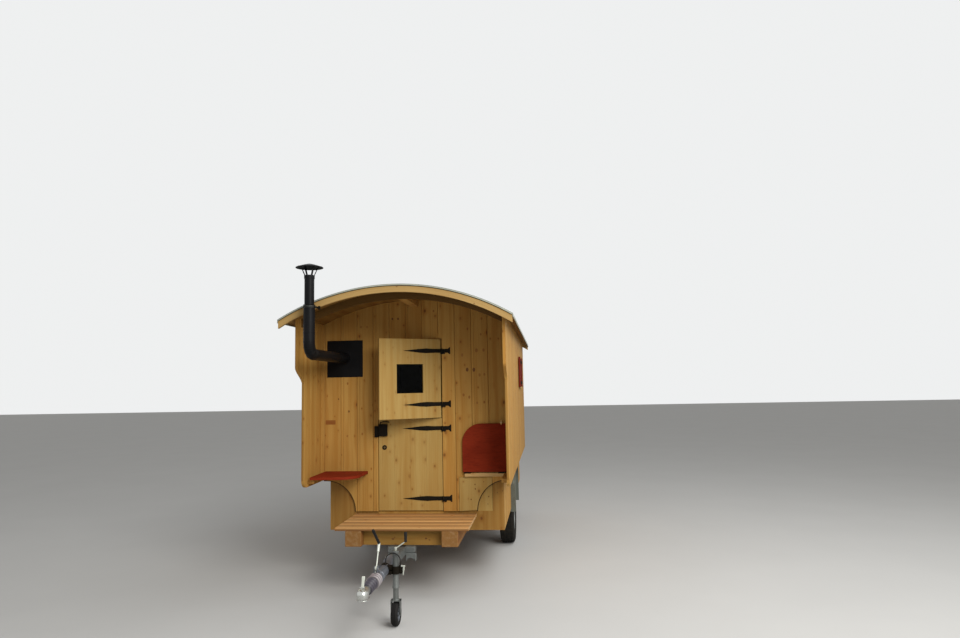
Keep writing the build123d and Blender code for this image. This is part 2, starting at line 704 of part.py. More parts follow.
# Wheels: a dished steel rim and a tyre each side
with BuildPart() as rim_right:
    with Locations((tyre_outer - tyre_width / 2, axle_y, axle_z)):
        Cylinder(rim_radius - 0.3, tyre_width - 30, rotation=(0, 90, 0))
        Cylinder(rim_radius - 12, tyre_width, rotation=(0, 90, 0), mode=Mode.SUBTRACT)
    with Locations((tyre_outer - 70, axle_y, axle_z)):
        Cylinder(rim_radius - 6, 10, rotation=(0, 90, 0))
        Cylinder(55, 60, rotation=(0, 90, 0))
    with Locations((0, axle_y, axle_z)):
        Cylinder(spindle_radius + 0.06, 2 * (tyre_outer - 59), rotation=(0, 90, 0), mode=Mode.SUBTRACT)
with BuildPart() as rim_left:
    add(mirror(rim_right.part, about=Plane.YZ, mode=Mode.PRIVATE))
with BuildPart() as tyre_right:
    with Locations((tyre_outer - tyre_width / 2, axle_y, axle_z)):
        Cylinder(tyre_radius, tyre_width, rotation=(0, 90, 0))
    fillet(tyre_right.edges().filter_by(GeomType.CIRCLE), 28)
    with Locations((tyre_outer - tyre_width / 2, axle_y, axle_z)):
        Cylinder(rim_radius, tyre_width + 2, rotation=(0, 90, 0), mode=Mode.SUBTRACT)
with BuildPart() as tyre_left:
    add(mirror(tyre_right.part, about=Plane.YZ, mode=Mode.PRIVATE))

# Wheel housings: a bent sheet over each wheel, with a plate on its inner side
with BuildPart() as wheel_space:
    space_y = (guard_front + guard_sheet, guard_rear - guard_sheet)
    block((guard_inner + guard_sheet, guard_outer + 1), space_y, (guard_low - 1, guard_top - guard_sheet))
    fillet(wheel_space.edges().filter_by(Axis.X).group_by(Axis.Z)[-1], guard_corner - guard_sheet)
with BuildPart() as wheel_housing_right:
    block((guard_inner, guard_outer), (guard_front, guard_rear), (guard_low, guard_top))
    fillet(wheel_housing_right.edges().filter_by(Axis.X).group_by(Axis.Z)[-1], guard_corner)
    add(wheel_space.part, mode=Mode.SUBTRACT)
with BuildPart() as wheel_housing_left:
    add(mirror(wheel_housing_right.part, about=Plane.YZ, mode=Mode.PRIVATE))

# Drawbar: a square tube under the sills, with a folded steel bracket below the cross plank
with BuildPart() as drawbar:
    drawbar_z = drawbar_top - drawbar_size / 2
    tube_y = (drawbar_front, axle_y - axle_size / 2)
    block((-drawbar_size / 2, drawbar_size / 2), tube_y, (drawbar_top - drawbar_size, drawbar_top))
    tube_inner = drawbar_size / 2 - 5
    block((-tube_inner, tube_inner), (tube_y[0] + 10, tube_y[1] + 1), (drawbar_z - tube_inner, drawbar_z + tube_inner), Mode.SUBTRACT)
    bracket_y = (bracket_front, bracket_front + bracket_depth)
    block((-bracket_width / 2, bracket_width / 2), bracket_y, (drawbar_top - bracket_height, drawbar_top))
    block((-150, 150), (axle_y - 60, axle_y + 60), (axle_z + axle_size / 2, drawbar_top - drawbar_size + 1))

# Overrun hitch: a cast housing on the drawbar, bellows, and the coupling head with its handle
with BuildPart() as hitch_housing:
    block((-55, 55), (drawbar_front - 130, drawbar_front), (hitch_z - 55, hitch_z + 50))
    with Locations((0, (drawbar_front + housing_front) / 2, hitch_z)):
        Cylinder(housing_radius, drawbar_front - housing_front, rotation=(90, 0, 0))
    with Locations((0, housing_front + 60, hitch_z)):
        Cylinder(56, 120, rotation=(90, 0, 0))
    block((ear_x[0] - 6, ear_x[1] + 6), (lever_y - 28, lever_y + 28), (hitch_z, lever_z + 24))
    block(ear_x, (lever_y - 29, lever_y + 29), (hitch_z + 58, lever_z + 25), Mode.SUBTRACT)
    with Locations((lever_x, lever_y, lever_z)):
        Cylinder(lever_pin_radius, ear_x[1] - ear_x[0] + 10, rotation=(0, 90, 0))
with BuildPart() as bellows:
    with BuildSketch(Plane.YZ):
        with BuildLine():
            fold = (housing_front - head_back) / 4
            Polyline(
                (head_back, hitch_z),
                (head_back, hitch_z + 36),
                (head_back + fold * 0.5, hitch_z + 46),
                (head_back + fold, hitch_z + 36),
                (head_back + fold * 1.5, hitch_z + 46),
                (head_back + fold * 2, hitch_z + 36),
                (head_back + fold * 2.5, hitch_z + 46),
                (head_back + fold * 3, hitch_z + 36),
                (head_back + fold * 3.5, hitch_z + 46),
                (housing_front, hitch_z + 36),
                (housing_front, hitch_z),
                (head_back, hitch_z),
            )
        make_face()
    revolve(axis=Axis((0, 0, hitch_z), (0, 1, 0)))
with BuildPart() as coupling_head:
    with Locations((0, head_back - 60, hitch_z)):
        Cylinder(34, 120, rotation=(90, 0, 0))
    block((-42, 42), (head_front, head_back - 90), (hitch_z - 42, hitch_z + 34))
    fillet(coupling_head.edges().filter_by(Axis.Z).group_by(Axis.Y)[0], 36)
    with Locations((0, ball_y, ball_z)):
        Sphere(ball_radius, mode=Mode.SUBTRACT)
    with Locations((0, ball_y, (ball_z + hitch_z - 43) / 2)):
        Cylinder(ball_radius, ball_z - hitch_z + 43, mode=Mode.SUBTRACT)
    with Locations(Plane(origin=(0, ball_y + 40, hitch_z + 30), x_dir=(1, 0, 0), z_dir=(0, 0.3, 1))):
        Box(30, 18, 110, align=(Align.CENTER, Align.CENTER, Align.MIN))

# Handbrake lever: it turns on a pin in the housing
with BuildPart() as handbrake_lever:
    with Locations((lever_x, lever_y, lever_z)):
        Cylinder(20, 16, rotation=(0, 90, 0))
    with Locations(Plane(origin=(lever_x, lever_y, lever_z), x_dir=(1, 0, 0), z_dir=(0, 100, 190))):
        Cylinder(6, lever_rod, align=(Align.CENTER, Align.CENTER, Align.MIN))
        with Locations((0, 0, lever_rod - 60)):
            Cylinder(12, 60, align=(Align.CENTER, Align.CENTER, Align.MIN))
    with Locations(Plane(origin=(lever_x, lever_y + 96, lever_z + 182), x_dir=(1, 0, 0), z_dir=(0, -210, 155))):
        Cylinder(11, lever_grip, align=(Align.CENTER, Align.CENTER, Align.MIN))
    with Locations((lever_x, lever_y, lever_z)):
        Cylinder(lever_pin_radius + 0.06, 26, rotation=(0, 90, 0), mode=Mode.SUBTRACT)

# Jockey wheel: a tube in a clamp on the housing, a fork below it, and its small wheel on the ground
clamp_x = (housing_radius - 16, jockey_x + clamp_reach)
clamp_y = (jockey_y - jockey_radius - 14, jockey_y + jockey_radius + 6)
clamp_z = (hitch_z - clamp_half_height, hitch_z + clamp_half_height)
with BuildPart() as jockey_tube:
    with Locations((jockey_x, jockey_y, (jockey_low + jockey_top) / 2)):
        Cylinder(jockey_radius, jockey_top - jockey_low)
    block(clamp_x, clamp_y, clamp_z)
    with Locations((0, jockey_y, hitch_z)):
        Cylinder(housing_radius + 0.3, 2 * jockey_radius + 60, rotation=(90, 0, 0), mode=Mode.SUBTRACT)
    block((jockey_x - 42, jockey_x + 42), (jockey_y - 30, jockey_y + 30), (jockey_low - 8, jockey_low))
    for side in (-1, 1):
        fork_x = sorted((jockey_x + side * 36, jockey_x + side * 42))
        block(fork_x, (jockey_y - 30, jockey_y + 30), (jockey_wheel_radius - 20, jockey_low))
    with Locations((jockey_x, jockey_y, jockey_wheel_radius)):
        Cylinder(8, 84, rotation=(0, 90, 0))
    with Locations((jockey_x, jockey_y, jockey_top)):
        Cylinder(crank_spindle_radius + pin_clearance, 60, mode=Mode.SUBTRACT)
with BuildPart() as jockey_wheel:
    with Locations((jockey_x, jockey_y, jockey_wheel_radius)):
        Cylinder(jockey_wheel_radius, jockey_wheel_width, rotation=(0, 90, 0))
    fillet(jockey_wheel.edges().filter_by(GeomType.CIRCLE), 14)
    with Locations((jockey_x, jockey_y, jockey_wheel_radius)):
        Cylinder(8.06, jockey_wheel_width + 2, rotation=(0, 90, 0), mode=Mode.SUBTRACT)

# Crank on the jockey wheel's screw: a spindle in the tube's top, a sloping arm and an upright grip
with BuildPart() as jockey_crank:
    spindle_z = (jockey_top - 29, jockey_top + 26)
    with Locations((jockey_x, jockey_y, (spindle_z[0] + spindle_z[1]) / 2)):
        Cylinder(crank_spindle_radius, spindle_z[1] - spindle_z[0])
    arm_start = (jockey_x, jockey_y, jockey_top + 19)
    arm_length = (crank_reach**2 + crank_rise**2) ** 0.5
    with Locations(Plane(origin=arm_start, x_dir=(0, 1, 0), z_dir=(crank_reach, 0, crank_rise))):
        Cylinder(6, arm_length, align=(Align.CENTER, Align.CENTER, Align.MIN))
    with Locations((jockey_x + crank_reach, jockey_y, jockey_top + crank_rise + 10)):
        Cylinder(14, crank_grip, align=(Align.CENTER, Align.CENTER, Align.MIN))

# Brake cable: one loop from the top of the housing over to the clamp
with BuildPart() as brake_cable:
    cable_bend = (cable_end_x - cable_start_x) / 2
    cable_low = hitch_z + housing_radius - 8
    cable_high = hitch_z + housing_radius + cable_rise - cable_bend
    with BuildLine(Plane.XZ.offset(-cable_y)) as cable_line:
        Line((cable_start_x, cable_low), (cable_start_x, cable_high))
        RadiusArc((cable_start_x, cable_high), (cable_end_x, cable_high), cable_bend)
        Line((cable_end_x, cable_high), (cable_end_x, clamp_z[1]))
    with BuildSketch(Plane(origin=(cable_start_x, cable_y, cable_low), z_dir=(0, 0, 1))):
        Circle(cable_radius)
    sweep(path=cable_line.line)
    with Locations((0, cable_y, hitch_z)):
        Cylinder(housing_radius + 0.2, 4 * cable_radius, rotation=(90, 0, 0), mode=Mode.SUBTRACT)

# Labels and files, one for each piece
floor.part.label = "floor"
sill_left.part.label = "sill_left"
sill_right.part.label = "sill_right"
cross_plank.part.label = "cross_plank"
deck.part.label = "deck"
front_wall_left.part.label = "front_wall_left"
front_wall_right.part.label = "front_wall_right"
front_wall_over_door.part.label = "front_wall_over_door"
front_wall_under_door.part.label = "front_wall_under_door"
side_wall_right.part.label = "side_wall_right"
side_wall_left.part.label = "side_wall_left"
lower_wall_right.part.label = "lower_wall_right"
lower_wall_left.part.label = "lower_wall_left"
rear_wall.part.label = "rear_wall"
roof_boards.part.label = "roof_boards"
roof_sheet.part.label = "roof_sheet"
fascia_front.part.label = "fascia_front"
fascia_rear.part.label = "fascia_rear"
arch_rib.part.label = "arch_rib"
ridge_purlin.part.label = "ridge_purlin"
door_lower.part.label = "door_lower"
door_upper.part.label = "door_upper"
door_pane.part.label = "door_pane"
strap_lower_bottom.part.label = "strap_lower_bottom"
strap_lower_top.part.label = "strap_lower_top"
strap_upper_bottom.part.label = "strap_upper_bottom"
strap_upper_top.part.label = "strap_upper_top"
hinge_plates.part.label = "hinge_plates"
lock.part.label = "lock"
seat_left.part.label = "seat_left"
seat_right.part.label = "seat_right"
hatch.part.label = "hatch"
flue_plate.part.label = "flue_plate"
flue_pipe.part.label = "flue_pipe"
flue_clamp.part.label = "flue_clamp"
flue_cap.part.label = "flue_cap"
window_pane_right.part.label = "window_pane_right"
window_pane_left.part.label = "window_pane_left"
shutter_right_front.part.label = "shutter_right_front"
shutter_right_rear.part.label = "shutter_right_rear"
shutter_left_front.part.label = "shutter_left_front"
shutter_left_rear.part.label = "shutter_left_rear"
axle.part.label = "axle"
rim_right.part.label = "rim_right"
rim_left.part.label = "rim_left"
tyre_right.part.label = "tyre_right"
tyre_left.part.label = "tyre_left"
wheel_housing_right.part.label = "wheel_housing_right"
wheel_housing_left.part.label = "wheel_housing_left"
drawbar.part.label = "drawbar"
hitch_housing.part.label = "hitch_housing"
bellows.part.label = "bellows"
coupling_head.part.label = "coupling_head"
handbrake_lever.part.label = "handbrake_lever"
jockey_tube.part.label = "jockey_tube"
jockey_wheel.part.label = "jockey_wheel"
jockey_crank.part.label = "jockey_crank"
brake_cable.part.label = "brake_cable"

export_step(floor.part, "parts/floor.step")
export_step(sill_left.part, "parts/sill_left.step")
export_step(sill_right.part, "parts/sill_right.step")
export_step(cross_plank.part, "parts/cross_plank.step")
export_step(deck.part, "parts/deck.step")
export_step(front_wall_left.part, "parts/front_wall_left.step")
export_step(front_wall_right.part, "parts/front_wall_right.step")
export_step(front_wall_over_door.part, "parts/front_wall_over_door.step")
export_step(front_wall_under_door.part, "parts/front_wall_under_door.step")
export_step(side_wall_right.part, "parts/side_wall_right.step")
export_step(side_wall_left.part, "parts/side_wall_left.step")
export_step(lower_wall_right.part, "parts/lower_wall_right.step")
export_step(lower_wall_left.part, "parts/lower_wall_left.step")
export_step(rear_wall.part, "parts/rear_wall.step")
export_step(roof_boards.part, "parts/roof_boards.step")
export_step(roof_sheet.part, "parts/roof_sheet.step")
export_step(fascia_front.part, "parts/fascia_front.step")
export_step(fascia_rear.part, "parts/fascia_rear.step")
export_step(arch_rib.part, "parts/arch_rib.step")
export_step(ridge_purlin.part, "parts/ridge_purlin.step")
export_step(door_lower.part, "parts/door_lower.step")
export_step(door_upper.part, "parts/door_upper.step")
export_step(door_pane.part, "parts/door_pane.step")
export_step(strap_lower_bottom.part, "parts/strap_lower_bottom.step")
export_step(strap_lower_top.part, "parts/strap_lower_top.step")
export_step(strap_upper_bottom.part, "parts/strap_upper_bottom.step")
export_step(strap_upper_top.part, "parts/strap_upper_top.step")
export_step(hinge_plates.part, "parts/hinge_plates.step")
export_step(lock.part, "parts/lock.step")
export_step(seat_left.part, "parts/seat_left.step")
export_step(seat_right.part, "parts/seat_right.step")
export_step(hatch.part, "parts/hatch.step")
export_step(flue_plate.part, "parts/flue_plate.step")
export_step(flue_pipe.part, "parts/flue_pipe.step")
export_step(flue_clamp.part, "parts/flue_clamp.step")
export_step(flue_cap.part, "parts/flue_cap.step")
export_step(window_pane_right.part, "parts/window_pane_right.step")
export_step(window_pane_left.part, "parts/window_pane_left.step")
export_step(shutter_right_front.part, "parts/shutter_right_front.step")
export_step(shutter_right_rear.part, "parts/shutter_right_rear.step")
export_step(shutter_left_front.part, "parts/shutter_left_front.step")
export_step(shutter_left_rear.part, "parts/shutter_left_rear.step")
export_step(axle.part, "parts/axle.step")
export_step(rim_right.part, "parts/rim_right.step")
export_step(rim_left.part, "parts/rim_left.step")
export_step(tyre_right.part, "parts/tyre_right.step")
export_step(tyre_left.part, "parts/tyre_left.step")
export_step(wheel_housing_right.part, "parts/wheel_housing_right.step")
export_step(wheel_housing_left.part, "parts/wheel_housing_left.step")
export_step(drawbar.part, "parts/drawbar.step")
export_step(hitch_housing.part, "parts/hitch_housing.step")
export_step(bellows.part, "parts/bellows.step")
export_step(coupling_head.part, "parts/coupling_head.step")
export_step(handbrake_lever.part, "parts/handbrake_lever.step")
export_step(jockey_tube.part, "parts/jockey_tube.step")
export_step(jockey_wheel.part, "parts/jockey_wheel.step")
export_step(jockey_crank.part, "parts/jockey_crank.step")
export_step(brake_cable.part, "parts/brake_cable.step")
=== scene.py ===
# %% [markdown]
# # A shepherd's hut on a single-axle trailer
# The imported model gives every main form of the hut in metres: +X is to the right of someone who
# faces the door, +Y runs into the hut and +Z is up. This lesson keeps those forms and gives them
# what a close look needs: separate boards with real grooves, hardware, tread, folds and finishes.

import random
from math import asin, cos, pi, radians, sin, sqrt

import bpy
import bmesh
from mathutils import Matrix, Vector


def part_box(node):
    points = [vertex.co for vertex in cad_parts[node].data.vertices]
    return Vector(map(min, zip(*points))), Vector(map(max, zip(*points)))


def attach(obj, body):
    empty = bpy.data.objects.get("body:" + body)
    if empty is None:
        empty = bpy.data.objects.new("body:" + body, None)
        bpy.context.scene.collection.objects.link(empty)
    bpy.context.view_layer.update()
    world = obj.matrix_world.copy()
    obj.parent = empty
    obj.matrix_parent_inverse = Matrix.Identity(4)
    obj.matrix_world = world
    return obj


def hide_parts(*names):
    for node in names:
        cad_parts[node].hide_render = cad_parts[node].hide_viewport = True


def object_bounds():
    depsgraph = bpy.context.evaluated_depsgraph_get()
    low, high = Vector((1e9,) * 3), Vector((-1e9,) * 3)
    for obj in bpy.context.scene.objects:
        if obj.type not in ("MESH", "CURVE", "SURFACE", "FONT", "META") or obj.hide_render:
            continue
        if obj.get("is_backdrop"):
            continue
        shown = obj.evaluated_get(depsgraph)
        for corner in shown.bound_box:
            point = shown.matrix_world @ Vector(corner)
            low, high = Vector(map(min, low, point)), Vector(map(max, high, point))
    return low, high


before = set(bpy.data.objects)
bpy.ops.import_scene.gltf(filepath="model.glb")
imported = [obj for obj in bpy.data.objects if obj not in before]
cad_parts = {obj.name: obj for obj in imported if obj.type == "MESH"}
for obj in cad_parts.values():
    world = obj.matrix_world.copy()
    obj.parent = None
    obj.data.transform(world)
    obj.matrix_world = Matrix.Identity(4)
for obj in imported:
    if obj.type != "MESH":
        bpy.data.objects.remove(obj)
cad_low, cad_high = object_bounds()
print("CAD box", [round(v, 3) for v in (*cad_low, *cad_high)])

# %% [markdown]
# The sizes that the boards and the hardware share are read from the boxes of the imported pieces,
# so that a board ends exactly where the wall that it stands for ends. Two layers that lie on each
# other are a hair apart, because faces in one plane would flicker.

# %% Shared sizes
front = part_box("deck")[1].y
floor_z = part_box("floor")[1].z
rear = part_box("rear_wall")[1].y
skirt_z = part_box("rear_wall")[0].z
sill_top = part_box("sill_left")[1].z
wing_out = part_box("side_wall_right")[1].x
wing_in = wing_out - 0.028
lower_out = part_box("lower_wall_right")[1].x
ledge_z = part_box("side_wall_right")[0].z
roof_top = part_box("roof_sheet")[1].z
roof_radius = 2.225
roof_z = roof_top - roof_radius
soffit = roof_radius - 0.0256
room_x = 0.988
skin, wall_deep, hair = 0.020, 0.060, 0.0001
arc_x, arc_r = wing_in - 0.030, 0.330
door_left, door_right, door_top = -0.410, 0.300, floor_z + 1.850
hinge_x, hinge_y, ajar = door_right - 0.0035, front - 0.009, radians(31)
board_step, first_joint = 0.1815, 0.0790
print("front wall at y", round(front, 3), "floor at z", round(floor_z, 3))

# %% [markdown]
# ## Shader maths as plain expressions
# A wood finish is mostly sums and products of noise. One small class wraps a socket, so that
# `1 - mask` or `grain * 0.4` adds the Math nodes itself, and one method makes any other node
# from its type, its settings and the values or links of its sockets.


# %% Socket wrapper
class Wire:
    """One output of a node. Arithmetic on it adds Math nodes."""

    def __init__(self, finish, socket):
        self.finish, self.socket = finish, socket

    def maths(self, operation, first, second=0.0):
        return self.finish.node("Math", {"operation": operation}, {0: first, 1: second})

    def __add__(self, other):
        return self.maths("ADD", self, other)

    def __sub__(self, other):
        return self.maths("SUBTRACT", self, other)

    def __rsub__(self, other):
        return self.maths("SUBTRACT", other, self)

    def __mul__(self, other):
        return self.maths("MULTIPLY", self, other)

    def __truediv__(self, other):
        return self.maths("DIVIDE", self, other)

    __radd__ = __add__
    __rmul__ = __mul__

    def power(self, other):
        return self.maths("POWER", self, other)

    def step(self, low, high):
        """0 below low and 1 above high, with a soft run between them."""
        settings = {"interpolation_type": "SMOOTHSTEP"}
        return self.finish.node("MapRange", settings, {0: self, 1: low, 2: high, 3: 0.0, 4: 1.0})


def scaled(colour, *shares):
    """A colour with its red, green and blue multiplied, by one share or by three."""
    shares = shares if len(shares) == 3 else shares * 3
    return tuple(c * share for c, share in zip(colour, shares))


# %% [markdown]
# Every material is made by the same small class: it opens an empty node tree, hands out the
# places and the noise that the finishes are built from, and closes with one Principled shader.


# %% Finish
class Finish:
    """A material and the nodes that make it."""

    def __init__(self, name):
        self.material = bpy.data.materials.new(name)
        self.material.use_nodes = True
        self.tree = self.material.node_tree
        self.tree.nodes.clear()

    def node(self, kind, settings=None, inputs=None, out=0):
        made = self.tree.nodes.new("ShaderNode" + kind)
        for key, value in (settings or {}).items():
            setattr(made, key, value)
        for key, value in (inputs or {}).items():
            if isinstance(value, Wire):
                self.tree.links.new(value.socket, made.inputs[key])
            else:
                made.inputs[key].default_value = value
        return Wire(self, made.outputs[out]) if made.outputs else made

    def mix(self, factor, first, second):
        """A colour between two colours."""
        first, second = [(*c, 1.0) if isinstance(c, tuple) else c for c in (first, second)]
        return self.node("Mix", {"data_type": "RGBA"}, {0: factor, 6: first, 7: second}, out=2)

    def part(self, colour, channel):
        return self.node("SeparateColor", inputs={0: colour}, out=channel)

    def attribute(self, name):
        return self.node("Attribute", {"attribute_name": name}, out="Fac")

    def place(self):
        """x, y and z of the surface in the object's own metres."""
        point = self.node("TexCoord", out="Object")
        return [self.node("SeparateXYZ", inputs={0: point}, out=axis) for axis in "XYZ"]

    def point(self, x, y, z):
        return self.node("CombineXYZ", inputs={0: x, 1: y, 2: z})

    def length(self, point):
        return self.node("VectorMath", {"operation": "LENGTH"}, {0: point}, out="Value")

    def noise(self, where, scale=1.0, detail=3.0, rough=0.55):
        inputs = {"Vector": where, "Scale": scale, "Detail": detail, "Roughness": rough}
        return self.node("TexNoise", inputs=inputs)

    def spots(self, x, y, scale, out="Distance"):
        """A flat pattern of cells: the distance to the nearest spot, or a colour for each cell."""
        settings = {"voronoi_dimensions": "2D", "feature": "F1"}
        inputs = {"Vector": self.point(x, y, 0.0), "Scale": scale, "Randomness": 1.0}
        return self.node("TexVoronoi", settings, inputs, out=out)

    def finish(self, colour, rough, metal=0.0, height=None, depth=0.001, shine=0.5, **extra):
        """Close the material with one Principled shader and, where a height is given, its bump."""
        inputs = {"Base Color": colour, "Roughness": rough, "Metallic": metal}
        inputs.update({"Specular IOR Level": shine, **extra})
        if isinstance(colour, tuple):
            inputs["Base Color"] = (*colour, 1.0)
        if height is not None:
            bump = {"Strength": 1.0, "Distance": depth, "Height": height}
            inputs["Normal"] = self.node("Bump", inputs=bump)
        shader = self.node("BsdfPrincipled", inputs=inputs)
        self.node("OutputMaterial", inputs={"Surface": shader})
        print("finish:", self.material.name, "with", len(self.tree.nodes), "nodes")
        return self.material


# %% [markdown]
# ## Spruce
# The hut is clad in oiled spruce: honey-coloured boards, each with its own tone, fine darker
# lines of late wood along the board, broad warm streaks, and knots with an orange halo.
# Noise stretched along the board gives the lines, and a flat Voronoi pattern places the knots.
# Every board carries a random number in the attribute "board", which shifts the pattern and the
# tone, so no two boards match. A photograph of wood would be simpler, but it would repeat.

# %% Wood finish
knot_heart, end_ring = (0.120, 0.042, 0.012), 0.0045


def knots_of(f, across, run, board):
    """Masks of the hearts and the halos of the knots, which crowd on some boards."""
    distance, lottery = [f.spots(across, run * 0.72, 6.4, out) for out in ("Distance", "Color")]
    chance, size, strength = [f.part(lottery, channel) for channel in ("Red", "Green", "Blue")]
    crowd = f.noise(f.point(across * 2.1, run * 1.1, board * 5.0), 1.0, 1.0)
    there = (chance + crowd * 1.6).step(1.08, 1.12) * (0.40 + strength * 0.60)
    ring = distance / (size.power(2.0) * 0.95 + 0.40)
    return (1.0 - ring.step(0.034, 0.112)) * there, (1.0 - ring.step(0.070, 0.300)) * there


def end_grain(f, x, y, z, sway, pale, late):
    """Year rings round a heart, greyed in patches, for the sawn ends."""
    heart = f.point(x + sway * 0.01, z - 0.42, 0.0)
    rings = f.length(heart) + sway * 0.01
    rings = f.node("Math", {"operation": "PINGPONG"}, {0: rings, 1: end_ring}) / end_ring
    ends = f.mix(rings.power(1.6) * 0.6, scaled(pale, 0.82), scaled(late, 0.70))
    greyed = f.noise(f.point(x, y, z), 26.0, 4.0, 0.65).step(0.42, 0.66)
    return f.mix(greyed * 0.60, ends, scaled(pale, 0.95, 1.16, 1.75))


def timber(name, pale, warm, late, along="Z", knots=1.0, tone=0.20, end_axis=None):
    """Boards whose grain runs along one axis: pale and warm wood, and the colour of late wood."""
    f = Finish(name)
    x, y, z = f.place()
    board, groove = f.attribute("board"), f.attribute("groove")
    run, across = {"Z": (z, x + y), "X": (x, y + z), "Y": (y, x + z)}[along]
    run = run + board * 11.7
    across = across + board * 5.3
    sway = f.noise(f.point(across * 3.0, run * 0.9, board), 1.6, 2.0)
    core, halo = [mask * knots for mask in knots_of(f, across, run, board)]
    bent = across + halo * 0.010 + sway * 0.05
    lines = f.noise(f.point(bent * 70.0, run * 1.3, board))
    broad = f.noise(f.point((across + sway * 0.08) * 15.0, run * 0.55, board * 3.0))
    blotch = f.noise(f.point(across * 5.0, run * 1.6, board * 9.0), 1.0, 2.0)
    fine = f.noise(f.point(across * 380.0, run * 9.0, board), 1.0, 2.0)
    colour = f.mix(broad.step(0.36, 0.68), pale, warm)
    colour = f.mix(lines.step(0.47, 0.76) * 0.34, colour, late)
    colour = f.mix(fine.step(0.50, 0.75) * 0.10, colour, late)
    colour = f.mix(blotch.step(0.42, 0.72) * 0.35, colour, warm)
    shade = f.noise(f.point(board * 23.0, board * 7.0, 0.0), 1.0, 0.0)
    colour = f.mix(shade.step(0.35, 0.65) * tone, colour, scaled(warm, 0.60))
    colour = f.mix(halo * 0.60, colour, scaled(warm, 0.82, 0.62, 0.45))
    colour = f.mix(core * 0.80, colour, knot_heart)
    # painted shade: the groove attribute darkens the V of each joint, in place of the shade that falls into
    # it
    colour = f.mix(groove * 0.45, colour, scaled(late, 0.35))
    height = lines * 0.5 + fine * 0.25 - core * 0.6
    if end_axis:
        facing = f.node("NewGeometry", out="Normal")
        facing = f.node("SeparateXYZ", inputs={0: facing}, out=end_axis)
        end = f.node("Math", {"operation": "ABSOLUTE"}, {0: facing}).step(0.80, 0.95)
        colour = f.mix(end, colour, end_grain(f, x, y, z, sway, pale, late))
    return f.finish(colour, 0.58 + lines * 0.16, height=height, depth=0.0006, shine=0.12)


# %% Kinds of wood on the hut
spruce = timber("spruce boards", (0.505, 0.290, 0.076), (0.422, 0.208, 0.044), (0.285, 0.121, 0.021))
spruce_y = timber("spruce along the hut", (0.490, 0.285, 0.080), (0.410, 0.205, 0.050),
                  (0.290, 0.125, 0.026), along="Y")
leaf_wood = timber("door spruce", (0.450, 0.300, 0.098), (0.400, 0.236, 0.064),
                   (0.315, 0.158, 0.038), knots=0.7, tone=0.06)
# painted shade: the roof boards are a darker copy of the spruce along the hut, for the shade under the
# overhang
soffit_wood_painted_shade = timber("roof boards", (0.300, 0.160, 0.038), (0.245, 0.112, 0.023),
                     (0.165, 0.066, 0.012), along="Y")
larch = timber("deck larch", (0.735, 0.440, 0.176), (0.605, 0.312, 0.111),
               (0.345, 0.132, 0.039), along="X", tone=0.34, end_axis="X")
# painted shade: the base panels are a darker copy of the spruce, for the shade under the deck and the seats
base_wood_painted_shade = timber("base panels", (0.330, 0.180, 0.045), (0.276, 0.134, 0.029), (0.190, 0.080, 0.015))
beam_wood = timber("sill beams", (0.315, 0.155, 0.047), (0.268, 0.116, 0.032),
                   (0.180, 0.070, 0.017), along="Y", end_axis="Y")
# painted shade: the cross plank is darkened for the shade under the deck
plank_wood_painted_shade = timber("cross plank", (0.318, 0.186, 0.046), (0.262, 0.132, 0.029),
                   (0.172, 0.073, 0.014), along="X", tone=0.0)
cleat_wood = timber("planed rails", (0.545, 0.355, 0.148), (0.490, 0.295, 0.117),
                    (0.365, 0.192, 0.069), along="X", tone=0.0)

# %% [markdown]
# The arched fascias and the rib under the roof are cut on a curve, so their grain has to follow
# the arc. The same wood is used with the arc's length and its radius as the two directions.


# %% Arched wood
def arched_timber(name, pale, late):
    """Wood whose lines follow the roof's arc."""
    f = Finish(name)
    x, y, z = f.place()
    up = z - roof_z
    radius = f.length(f.point(x, up, 0.0))
    angle = f.node("Math", {"operation": "ARCTAN2"}, {0: x, 1: up}) * roof_radius
    lines = f.noise(f.point(radius * 90.0, angle * 2.0, y * 60.0), 1.0, 4.0)
    broad = f.noise(f.point(radius * 14.0, angle * 0.8, y * 4.0), 1.0, 2.0)
    core = 1.0 - f.spots(angle, radius * 1.4, 4.0).step(0.018, 0.045)
    between = tuple(0.55 * p + 0.45 * q for p, q in zip(pale, late))
    colour = f.mix(broad.step(0.35, 0.7), pale, between)
    colour = f.mix(lines.step(0.48, 0.75) * 0.5, colour, late)
    colour = f.mix(core * 0.75, colour, (0.13, 0.05, 0.018))
    return f.finish(colour, 0.52 + lines * 0.14, height=lines, depth=0.0005, shine=0.18)


arch_wood = arched_timber("arched spruce", (0.425, 0.276, 0.102), (0.320, 0.168, 0.047))
# painted shade: the rib is a much darker copy of the arched spruce, for the deep shade under the roof
rib_wood_painted_shade = arched_timber("arched rib in painted shade", (0.130, 0.066, 0.014), (0.088, 0.041, 0.008))

# %% [markdown]
# ## Paint, steel and rubber
# The seats are stained oxblood red, thin enough for the grain to show, and the same stain has
# weathered darker on the shutters. The strap hinges, the lock and the flue are matt black with a
# faint grey bloom. The trailer is hot-dip galvanised, whose spangle is a Voronoi pattern in grey,
# and the hitch is a grey casting. One function makes all the metals, because they differ only in
# their colours, their sheen and the dirt on them.


# %% Red stain
def red_stain(name, clear, deep, late):
    """Dark red stain on wood: the grain shows as darker lines."""
    f = Finish(name)
    x, y, z = f.place()
    board = f.attribute("board")
    lines = f.noise(f.point((x + board) * 14.0, y * 90.0, z * 90.0), 1.0, 4.0, 0.6)
    cloud = f.noise(f.point(x + board, y, z), 5.0, 3.0)
    colour = f.mix(cloud.step(0.35, 0.7), clear, deep)
    colour = f.mix(lines.step(0.46, 0.72) * 0.50, colour, late)
    return f.finish(colour, 0.62 + lines * 0.15, height=lines, depth=0.0004, shine=0.05)


